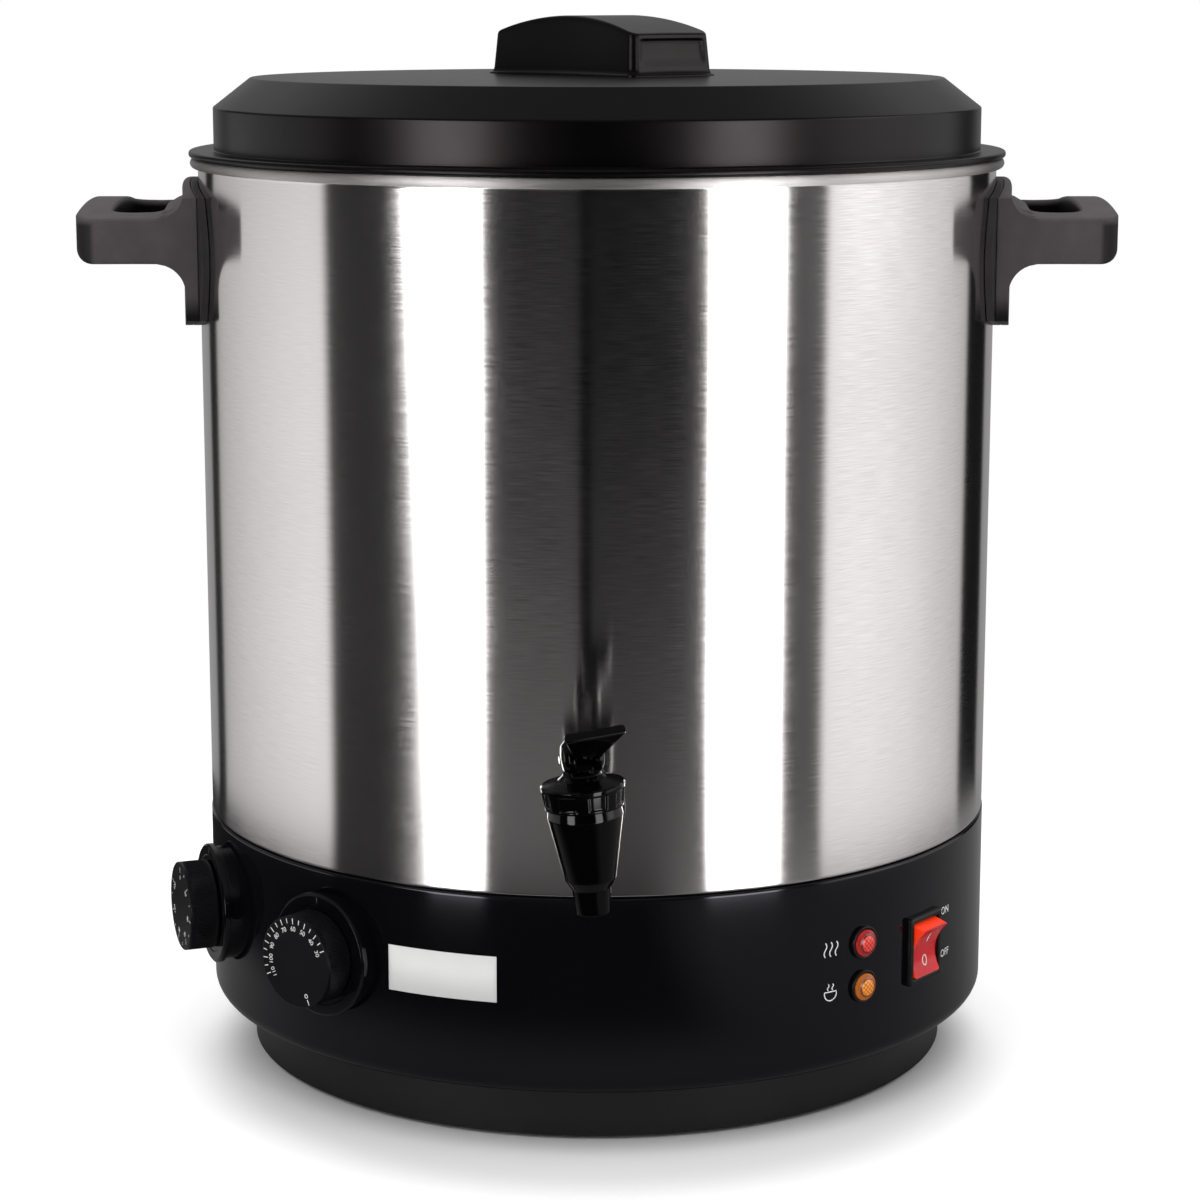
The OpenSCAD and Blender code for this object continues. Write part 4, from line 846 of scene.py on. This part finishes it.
def glyphs(text, height):
    """Points and triangles of a text, centred, in millimetres; its height is that of a digit."""
    curve = bpy.data.curves.new("print", "FONT")
    curve.body, curve.size = text, 1.0
    curve.align_x, curve.align_y, curve.resolution_u = "CENTER", "CENTER", 6
    holder = linked("print", curve)
    mesh = bpy.data.meshes.new_from_object(holder.evaluated_get(bpy.context.evaluated_depsgraph_get()))
    mesh.calc_loop_triangles()
    points = np.zeros(len(mesh.vertices) * 3)
    mesh.vertices.foreach_get("co", points)
    faces = np.zeros(len(mesh.loop_triangles) * 3, int)
    mesh.loop_triangles.foreach_get("vertices", faces)
    bpy.data.objects.remove(holder)
    bpy.data.meshes.remove(mesh)
    bpy.data.curves.remove(curve)
    points = points.reshape(-1, 3)[:, :2]
    middle = (points.max(0) + points.min(0)) / 2
    return (points - middle) * height / 0.7, faces.reshape(-1, 3)


def stroke(points, width):
    """A line of a width along points: each point is moved to both sides of its direction."""
    p = np.asarray(points, float)
    d = np.gradient(p, axis=0)
    n = np.stack([-d[:, 1], d[:, 0]], 1) / np.linalg.norm(d, axis=1, keepdims=True) * width / 2
    i = np.arange(len(p) - 1)
    k = i + len(p)
    faces = np.concatenate([np.stack([i, i + 1, k + 1], 1), np.stack([i, k + 1, k], 1)])
    return np.concatenate([p - n, p + n]), faces


def spun(shape, degrees, x=0.0, y=0.0):
    """A flat shape turned and then moved."""
    c, s = cos(radians(degrees)), sin(radians(degrees))
    points, faces = shape
    return points @ np.array([[c, s], [-s, c]]) + (x, y), faces


def on_plane(matrix, height):
    """Carries flat points to a plane at a height in a frame."""
    return lambda p: placed(np.column_stack([p, 0 * p[:, 0] + height]), matrix)


def on_wall(degrees, z, radius=BASE_R):
    """Bends flat points round the base's wall: x becomes an angle, y a height."""
    def carry(p):
        a = p[:, 0] / radius + radians(degrees)
        return np.stack([(radius + INK) * np.sin(a), -(radius + INK) * np.cos(a), z + p[:, 1]], 1)
    return carry


def printed(name, shapes, carry, finish, body="kettle"):
    """One piece of all the flat shapes. A Solidify modifier gives the ink its thickness."""
    mesh = joined(name, [(carry(flat), triangles) for flat, triangles in shapes])
    thick = finished(name, mesh, finish, body).modifiers.new("ink", "SOLIDIFY")
    thick.thickness, thick.offset = 2 * INK * MM, 0.0


# %% [markdown]
# Both scales are alike: ticks at equal steps of the angle, every second one longer and with its
# number. The temperature dial also has a small ring and a tick for its off place. A fine grey
# mark on each plate shows which number is set.

# %% Dial print
OFF_PLACE = 155.5


def at(radius, degrees):
    """The point of a dial at a radius and an angle, clockwise from the top."""
    a = radians(90 - degrees)
    return radius * cos(a), radius * sin(a)


def tick(degrees, ends, width):
    """A line along the radius between its two ends."""
    return stroke([at(ends[0], degrees), at(ends[1], degrees)], width)


def dial_scale(angles, long_tick, short_tick, width, first, step, height, number_r):
    """A tick at each angle; every second one is long and has the number first + step times i."""
    shapes = []
    for i, degrees in enumerate(angles):
        shapes.append(tick(degrees, short_tick if i % 2 else long_tick, width))
        if i % 2 == 0:
            shapes.append(spun(glyphs(str(first + step * i), height), -degrees, *at(number_r, degrees)))
    return shapes


turn_round = np.linspace(0, 2 * pi, 25)
circle = np.stack([np.cos(turn_round), np.sin(turn_round)], 1)
degrees_print = dial_scale(np.linspace(64.2, -116.4, 17), (16.6, 19.2), (17.0, 19.1), 0.4, 30, 5, 2.1, 14.6)
degrees_print += [tick(OFF_PLACE, (16.8, 19.3), 0.4), stroke(circle * 0.8 + at(15.2, OFF_PLACE), 0.35)]
minutes_print = dial_scale(np.linspace(0.0, 300.0, 13), (15.4, 18), (16.6, 18), 0.32, 0, 10, 2.0, 13.2)
index = [stroke([(0, 22.9), (0, 25.4)], 0.45)]
for name, matrix, shapes in (("temperature", TEMPERATURE, degrees_print), ("timer", TIMER, minutes_print)):
    printed(name + "_scale", shapes, on_plane(matrix, KNOB_FACE + INK), white_ink,
            name + "_dial")
    printed(name + "_index", index, on_plane(matrix, DIAL_PLATE + INK), handle_satin)

# %% [markdown]
# ## Switch and lamps
# The rocker sits in a moulded frame, tilted to its OFF side. It is a prism: its side view, with
# a hollow front, is carried along its width, and the ends are drawn in to round the edges.

# %% Switch


def frame_rows(sizes, matrix, steps=6):
    """Rounded rectangles (half width, half height, corner radius, height), one row each."""
    rows = []
    for w, h, r, z in sizes:
        flat = rounded(rectangle(w, h, r), steps=steps, pad=0.3)
        rows.append(np.column_stack([flat, 0 * flat[:, 0] + z]))
    return placed(np.array(rows), matrix)


def prism(profile, half_width, edge):
    """A profile in y and z carried along x, with rounded ends: rows draw in towards the
    profile's middle as they near each end."""
    middle = profile.mean(0)
    size = np.linalg.norm(profile - middle, axis=1, keepdims=True)
    quarter = np.linspace(0, pi / 2, 5)
    ends = [(-half_width + edge * (1 - sin(a)), edge * (1 - cos(a))) for a in quarter[::-1]]
    ends += [(half_width - edge * (1 - sin(a)), edge * (1 - cos(a))) for a in quarter]
    rows = []
    for x, inset in ends:
        yz = middle + (profile - middle) * (1 - inset / size)
        rows.append(np.column_stack([0 * yz[:, 0] + x, yz]))
    return capped(np.array(rows))


switch_sizes = [(10.2, 12.7, 0.6, -8), (12.75, 15.5, 1.2, -0.6), (12.75, 15.5, 1.2, 1.6),
                (12.5, 15.25, 1.2, 2.15), (12.1, 14.85, 1.0, 2.4), (10.6, 13.1, 0.6, 2.4),
                (10.2, 12.7, 0.6, 2.2), (10.0, 12.5, 0.5, 1.7), (10.0, 12.5, 0.5, -8.0),
                (10.2, 12.7, 0.6, -8)]
piece("switch_frame", [frame_rows(switch_sizes, SWITCH)], switch_black, "switch_plastic",
      stands_for=["switch_housing"])

# %% [markdown]
# The rocker's front is an arc: at a distance y from the middle it rises by r - sqrt(r r - y y).
# The marks 0 and I are printed on it, so they follow the same arc.

# %% Rocker
ROCKER = SWITCH @ shift(0, 0, -1) @ turn("x", 10)
DISH_LOW, DISH_RISE, ROCKER_END = 2.5, 4.0, 6.45
top_y = 12 - 5 * np.tan(radians(10))
dish_r = (top_y ** 2 + DISH_RISE ** 2) / (2 * DISH_RISE)


def dish(y):
    """Height of the rocker's hollow front at a distance y from its middle."""
    return DISH_LOW + dish_r - np.sqrt(dish_r ** 2 - y ** 2)


def on_dish(p):
    """Carries flat marks to the rocker's hollow front."""
    return placed(np.column_stack([p, dish(p[:, 1]) + INK]), ROCKER)


dish_y = np.linspace(-top_y + 0.3, top_y - 0.3, 25)
under = rounded([(top_y, ROCKER_END), (12, 0, 0.4), (9, -6, 0.4), (-9, -6, 0.4), (-12, 0, 0.4),
                 (-top_y, ROCKER_END)], closed=False)
rocker_profile = np.concatenate([np.stack([dish_y, dish(dish_y)], 1), under])
piece("rocker", [placed(prism(rocker_profile, 9.5, 0.6), ROCKER)], rocker_red, "red_plastic", "rocker",
      ["switch_rocker"], sharp=30)
ring_o = circle * (1.6, 2.1) + (0, -5.4)
bar_i = np.stack([np.zeros(9), np.linspace(3.2, 7.6, 9)], 1)
printed("rocker_marks", [stroke(ring_o, 0.6), stroke(bar_i, 0.7)], on_dish, white_ink,
        "rocker")

# %% [markdown]
# Two round lamps stand beside the switch. A lens is turned: a short collar and a front that is
# part of a ball. A black ring holds each of them.

# %% Lamps
BALL_R, LENS_TOP = 10.61, 4.0
collar = rounded([(4, 0.25), (5.9, 0.25, 0.2), (5.9, 2.0, 0.3), (4.95, 2.65)], closed=False)
front_r = np.linspace(4.75, 0, 10)
front = np.stack([front_r, LENS_TOP - BALL_R + np.sqrt(BALL_R ** 2 - front_r ** 2)], 1)
lens_profile = np.concatenate([[(0, 0.25)], collar, front])
for name, matrix in LAMPS.items():
    piece("lens_" + name, [lathe(lens_profile, 72, matrix)], lens_finishes[name], name + "_lens",
          stands_for=["lamp_lens_" + name])
lamp_ring = looped(rounded([(6.0, 0.02), (7.4, 0.02, 0.2), (7.4, 1.6, 0.5), (6.0, 1.6, 0.5)]))
piece("lamp_rings", [lathe(lamp_ring, 96, matrix) for matrix in LAMPS.values()], switch_black,
      "switch_plastic", stands_for=["lamp_bezels"])

# %% [markdown]
# Small signs stand for what each lamp means: heat waves for heating, and a cup for keeping warm.
# A wave is a sine along an upright line. ON and OFF stand beside the switch.

# %% Signs on the wall
SIGN_ANGLE, WORD_HEIGHT = 33.6, 3.4
wave_t = np.linspace(-1, 1, 21)
wave = np.stack([0.7 * np.sin(wave_t * pi), 3.2 * wave_t], 1)
heat = [stroke(wave + (x, 0), 0.55) for x in (-3.0, 0, 3.0)]
half_turn = np.linspace(-pi, 0, 25)
bowl = np.stack([3.2 * np.cos(half_turn), 3.0 * np.sin(half_turn) - 0.3], 1)
cup = np.concatenate([[(-3.2, 0.6)], bowl, [(3.2, 0.6)], [(-3.2, 0.6)]])
keep = [stroke(cup, 0.5)] + [stroke(wave * (0.6, 0.42) + (x, 2.7), 0.5) for x in (-1.2, 1.2)]
for name, shapes, degrees, height in (
        ("heating_sign", heat, SIGN_ANGLE, 81.4), ("keep_warm_sign", keep, SIGN_ANGLE, 61.9),
        ("on_word", [glyphs("ON", WORD_HEIGHT)], 59.0, 82.0),
        ("off_word", [glyphs("OFF", WORD_HEIGHT)], 59.2, 62.3)):
    printed(name, shapes, on_wall(degrees, height), white_ink)

# %% [markdown]
# A plain white label is stuck on the wall between the dials and the middle. It stays blank. It
# is one broad stroke, bent round the wall.

# %% Label
LABEL_HALF, LABEL_HIGH = 25.0, 20.0
u = np.linspace(-LABEL_HALF, LABEL_HALF, 33)
label = stroke(np.stack([u, 0 * u], 1), LABEL_HIGH)
printed("blank_label", [label], on_wall(-21.45, 76.0), paper)

# %% [markdown]
# ## The tap
# Body, shank and bonnet are turned about their axes. The bonnet has shallow panels for a good
# hold: its radius drops where the angle and the height are both inside a panel.

# %% Tap
SHANK_R, FLANGE_R = 8, 15
body_profile = rounded([(0, -16), (5.2, -16, 0.2), (5.2, -32, 0.3), (7, -32, 0.6), (7.9, -21.6, 0.8),
                        (10.4, -17.7, 1.0), (15.3, 8.4, 1.6), (14.7, 12.3, 0.3), (0, 12.3)], closed=False)
shank_profile = rounded([(0, 9.5), (SHANK_R, 9.5, 0.3), (SHANK_R, 41, 0.4), (FLANGE_R, 41, 0.8),
                         (FLANGE_R, 44.9, 0.4), (SHANK_R, 44.9, 0.2), (SHANK_R, 63.5, 0.5), (0, 63.5)],
                        closed=False)
piece("tap_spout", [lathe(body_profile, 120, TAP), lathe(shank_profile, 96, TAP @ ALONG_Y)], tap_gloss,
      "tap_gloss", stands_for=["tap_body"])


def panels(a, z, r):
    """Eight shallow panels, 0.6 mm deep, on the side between heights 13 and 19.6."""
    place_in = np.abs((a * 8 / (2 * pi)) % 1.0 - 0.5) * 2
    inside = np.clip((0.62 - place_in) / 0.08, 0, 1)
    level = np.clip((z - 13.0) / 0.5, 0, 1) * np.clip((19.6 - z) / 0.5, 0, 1)
    return -0.6 * inside * level * (r > 14)


grip_z = np.linspace(12.7, 20.3, 24)
bonnet_profile = np.concatenate([
    rounded([(0, 12.0), (15.85, 12.0, 0.4), (15.92, 12.6)], closed=False),
    np.stack([15.5 + 1.5 * (grip_z - 9.25) / 11.75, grip_z], 1),
    rounded([(16.93, 20.5), (17.0, 21.1, 0.3), (16.4, 21.75, 0.3), (9.8, 23.7, 0.5), (8.0, 25.2, 0.4),
             (7.6, 26, 0.3), (0, 26)], closed=False)])
piece("tap_cap", [lathe(bonnet_profile, 320, TAP, panels)], tap_gloss, "tap_gloss",
      stands_for=["tap_bonnet"])

# %% [markdown]
# The lever's paddle is lofted from rounded sections, from its broad tip to its narrow root. Two
# turned ears hold the pin on either side.

# %% Lever
EDGE, EAR_OUT, EAR_TILT = 1.2, 4, radians(20)


def section_loft(sections, matrix):
    """Rounded box sections (along, half width, half thickness), lofted in order."""
    rows = []
    for along, w, h in sections:
        s, t = soft_square(np.array([[min(EDGE / w, 0.95)]]), np.array([[min(EDGE / h, 0.95)]]))
        rows.append(np.stack([w * s[0], 0 * s[0] + along, h * t[0]], 1))
    return placed(capped(np.array(rows)), matrix)


PADDLE = LEVER @ turn("z", 3.4) @ shift(0, -27.0, 15.3) @ turn("y", -2) @ turn("x", -36)
paddle = [(0, 11.9, 1.6), (0.25, 12.2, 1.85), (0.9, 12.3, 1.95), (8, 9.9, 1.95), (16, 7.0, 2.0),
          (21, 5.4, 2.2), (24.5, 4.8, 2.2), (26, 4.4, 1.8)]
ear_centre = shift(0, -EAR_OUT * cos(EAR_TILT), EAR_OUT * sin(EAR_TILT))
ear_profile = rounded([(0, 4.2), (7, 4.2, 0.4), (7, 6.4, 0.8), (5.2, 8.0, 1.5), (0, 8.7)], closed=False)
ears = [lathe(ear_profile * (1, sign), 72, LEVER @ ear_centre @ ALONG_X) for sign in (1, -1)]
piece("tap_handle", [section_loft(paddle, PADDLE), *ears], tap_gloss, "tap_gloss", "lever", ["tap_lever"])

# %% [markdown]
# A rubber washer lies between the shank's flange and the pot, where it seals the hole.

# %% Washer
washer_profile = rounded([(8.1, 45, 0.2), (FLANGE_R, 45, 0.5), (FLANGE_R, 47.95, 0.5), (8.1, 47.95, 0.2)])
piece("tap_washer", [lathe(looped(washer_profile), 96, TAP @ ALONG_Y)], rubber, "rubber",
      stands_for=["tap_outer_washer"])

# %% [markdown]
# ## The back
# The mains cord is left out of the picture and out of the model; its gland stays, a small
# round nut-like bush with an open bore.

# %% Gland
GLAND = panel(180, 60)
BORE_R, BUSH_R, FLUTED_R = 4.1, 7, 10
gland_profile = rounded([(BORE_R, -12.4), (BUSH_R, -12.4, 0.4), (BUSH_R, -1.0, 0.3), (FLUTED_R, -1.0, 0.3),
                         (FLUTED_R, 4, 0.9), (6.4, 4, 0.4), (BORE_R, 2.6, 0.6)])


def flutes(a, z, r):
    """Twelve shallow flutes round the bush's flange."""
    return -0.35 * np.clip(np.cos(12 * a), 0, 1) ** 2 * (r > 9) * np.clip((3.3 - z) / 0.6, 0, 1)


piece("gland_bush", [lathe(looped(gland_profile), 192, GLAND, flutes)], switch_black, "switch_plastic",
      stands_for=["cord_gland"])

# %% [markdown]
# ## Studio
# The floor is a round pale table that fades out at its edge, so that no line shows. The steel
# mirrors it darker than it is, as the photograph's lower wall shows it. A faint glow, seen by
# the camera only, lightens it away from the foot, so the ground turns white and the shadow stays.

# %% Floor
TABLE_R, PALE, MIRRORED_NEAR, MIRRORED_FAR, FLOOR_GLOW = 620.0, 0.88, 0.24, 0.02, 0.3
table_r = np.linspace(0, 1, 40)[:, None] ** 1.5 * TABLE_R
table_a = np.linspace(0, 2 * pi, 128, endpoint=False)[None]
table = np.stack([table_r * np.cos(table_a), table_r * np.sin(table_a), 0 * table_r * table_a], -1)
floor_mesh = joined("floor", [(table.reshape(-1, 3), quads(table))])
floor = linked("floor", floor_mesh)
floor_finish = Finish("pale_table", (PALE, PALE, PALE), 0.9, Specular_IOR_Level=0.0)
camera_ray, glossy_ray = [floor_finish.node("LightPath", out=i) for i in (0, 3)]
x, y, z = floor_finish.place()
reach = floor_finish.distance(x, y)
far = floor_finish.mix(floor_finish.step(x, 0.09, 0.22), plain_grey(MIRRORED_FAR), plain_grey(MIRRORED_NEAR))
near = floor_finish.mix(floor_finish.step(reach, 0.28, 0.37), plain_grey(MIRRORED_NEAR), far)
edge = floor_finish.drop(reach, 0.42 + 0.136 * glossy_ray, 0.55 + 0.022 * glossy_ray)
seen = camera_ray * floor_finish.step(reach + 0.24 * y, 0.153, 0.19)
floor_finish.wear({"Base Color": floor_finish.mix(glossy_ray, plain_grey(PALE), near), "Alpha": edge,
                   "Emission Color": floor_finish.mix(seen, BLACK, plain_grey(FLOOR_GLOW)),
                   "Emission Strength": 1.0})
floor_mesh.materials.append(floor_finish.material)
print("table of", len(floor_mesh.polygons), "faces")

# %% [markdown]
# The room is drawn in the world, as levels of light by the compass angle, 0 at the front. The
# steel mirrors it as upright bands, and each band stands where the pot's wall shows light or
# dark in the photograph. Matt surfaces are lit by the two softboxes and a plain ceiling, and
# where the camera looks past the table it sees white.

# %% Compass
ROOM_GAIN = 4.0
BANDS = [(-180, 0.33), (-151.5, 0.33), (-149.5, 0.02), (-143, 0.02), (-140.5, 0.5), (-135, 0.62),
         (-120, 0.82), (-109, 0.95), (-99, 1.05), (-90, 1.12), (-83.7, 1.12), (-80.7, 0.05),
         (-59, 0.03), (-31, 0.03), (-20, 0.015), (-5.2, 0.013), (-4.4, 0.0), (-2.4, 0.0),
         (-1.6, 0.003), (0, 0.003), (20, 0.004), (29, 0.03), (55, 0.09), (64, 0.12), (66, 0.16),
         (68.5, 1.2), (84, 1.18), (102, 1.05), (124, 0.75), (131, 0.62), (133.5, 0.01), (150, 0.01),
         (153, 0.33), (180, 0.33)]
world = bpy.data.worlds.new("studio")
bpy.context.scene.world = world
world.use_nodes = True
sky = Tree(world.node_tree)
dx, dy, dz = sky.place(0)
compass = sky.maths("ARCTAN2", dx, -dy) / (2 * pi) + 0.5
angle = compass * 360.0 - 180.0
camera_ray, glossy_ray = [sky.node("LightPath", out=i) for i in (0, 3)]


def half_room(first):
    """A ramp over half of the compass, from the first angle on; its colours times the world's
    strength are the bands' levels."""
    part = [(d, level) for d, level in BANDS if first <= d <= first + 180]
    stops = [((d - first) / 180, plain_grey(level / ROOM_GAIN)) for d, level in part]
    return sky.node("ValToRGB", {"stops": stops}, {0: compass * 2.0 - (first + 180) / 180})


def between(low, high, blur):
    """1 between two angles, with soft edges."""
    return sky.step(angle, low - blur, low + blur) * sky.drop(angle, high - blur, high + blur)


def grey(value):
    """A colour of three equal parts."""
    return sky.node("CombineColor", sockets={0: value, 1: value, 2: value})


def added(a, b):
    """The sum of two colours."""
    return sky.node("Mix", {"data_type": "RGBA", "blend_type": "ADD"}, {0: 1.0, 6: a, 7: b}, out=2)


bands = sky.mix(sky.step(compass, 0.4999, 0.5001), half_room(-180), half_room(0))
print(len(BANDS), "stops round the room")

# %% [markdown]
# Over the bands lies what changes with height: the softboxes end a little above eye level and
# the left one leans, a faint glow low in front of the pot is parted by the dark line in the
# wall's middle, and above eye level the left is darker and the right paler.

# %% World
left_box = sky.step(angle + 30.0 * dz, -57.4, -55.4) * sky.drop(angle, -33.8, -31.3)
softboxes = left_box + between(31.7, 53.3, 1.2)
low_boxes = softboxes * sky.drop(dz, 0.08, 0.22)
balance = 1.0 - 0.5 * sky.step(angle, -3.0, -1.5) + 0.17 * sky.step(angle, 2.0, 25.0)
parted = between(-30.0, 29.5, 1.0) * (1.0 - between(-5.0, -1.6, 0.4))
glow = sky.step(-dz, 0.14, 0.36) * parted * balance * 0.072
left_gap = 0.85 * sky.step(dz, -0.05, 0.04) * between(-146.0, -67.0, 5.0)
right_panel = 0.45 * sky.step(dz, 0.0, 0.06) * between(72.0, 98.0, 6.0)
mirrored_room = added(sky.mix(left_gap, bands, BLACK), grey(2.05 * low_boxes + glow + right_panel))
lit_room = grey(0.06 + 0.42 * softboxes)
room = sky.mix(glossy_ray, lit_room, mirrored_room)
ceiling = sky.mix(glossy_ray, plain_grey(0.42), grey(0.06 + 0.1 * sky.step(dy, 0.3, 0.6)))
overhead = sky.step(dz, 0.45 - 0.15 * glossy_ray, 0.75 - 0.2 * glossy_ray)
light = sky.mix(overhead, room, ceiling)
background = world.node_tree.nodes["Background"]
sky.fill(background, {"Color": sky.mix(camera_ray, light, plain_grey(1.0)),
                      "Strength": ROOM_GAIN - (ROOM_GAIN - 1.0) * camera_ray})
print(len(world.node_tree.nodes), "nodes in the world")
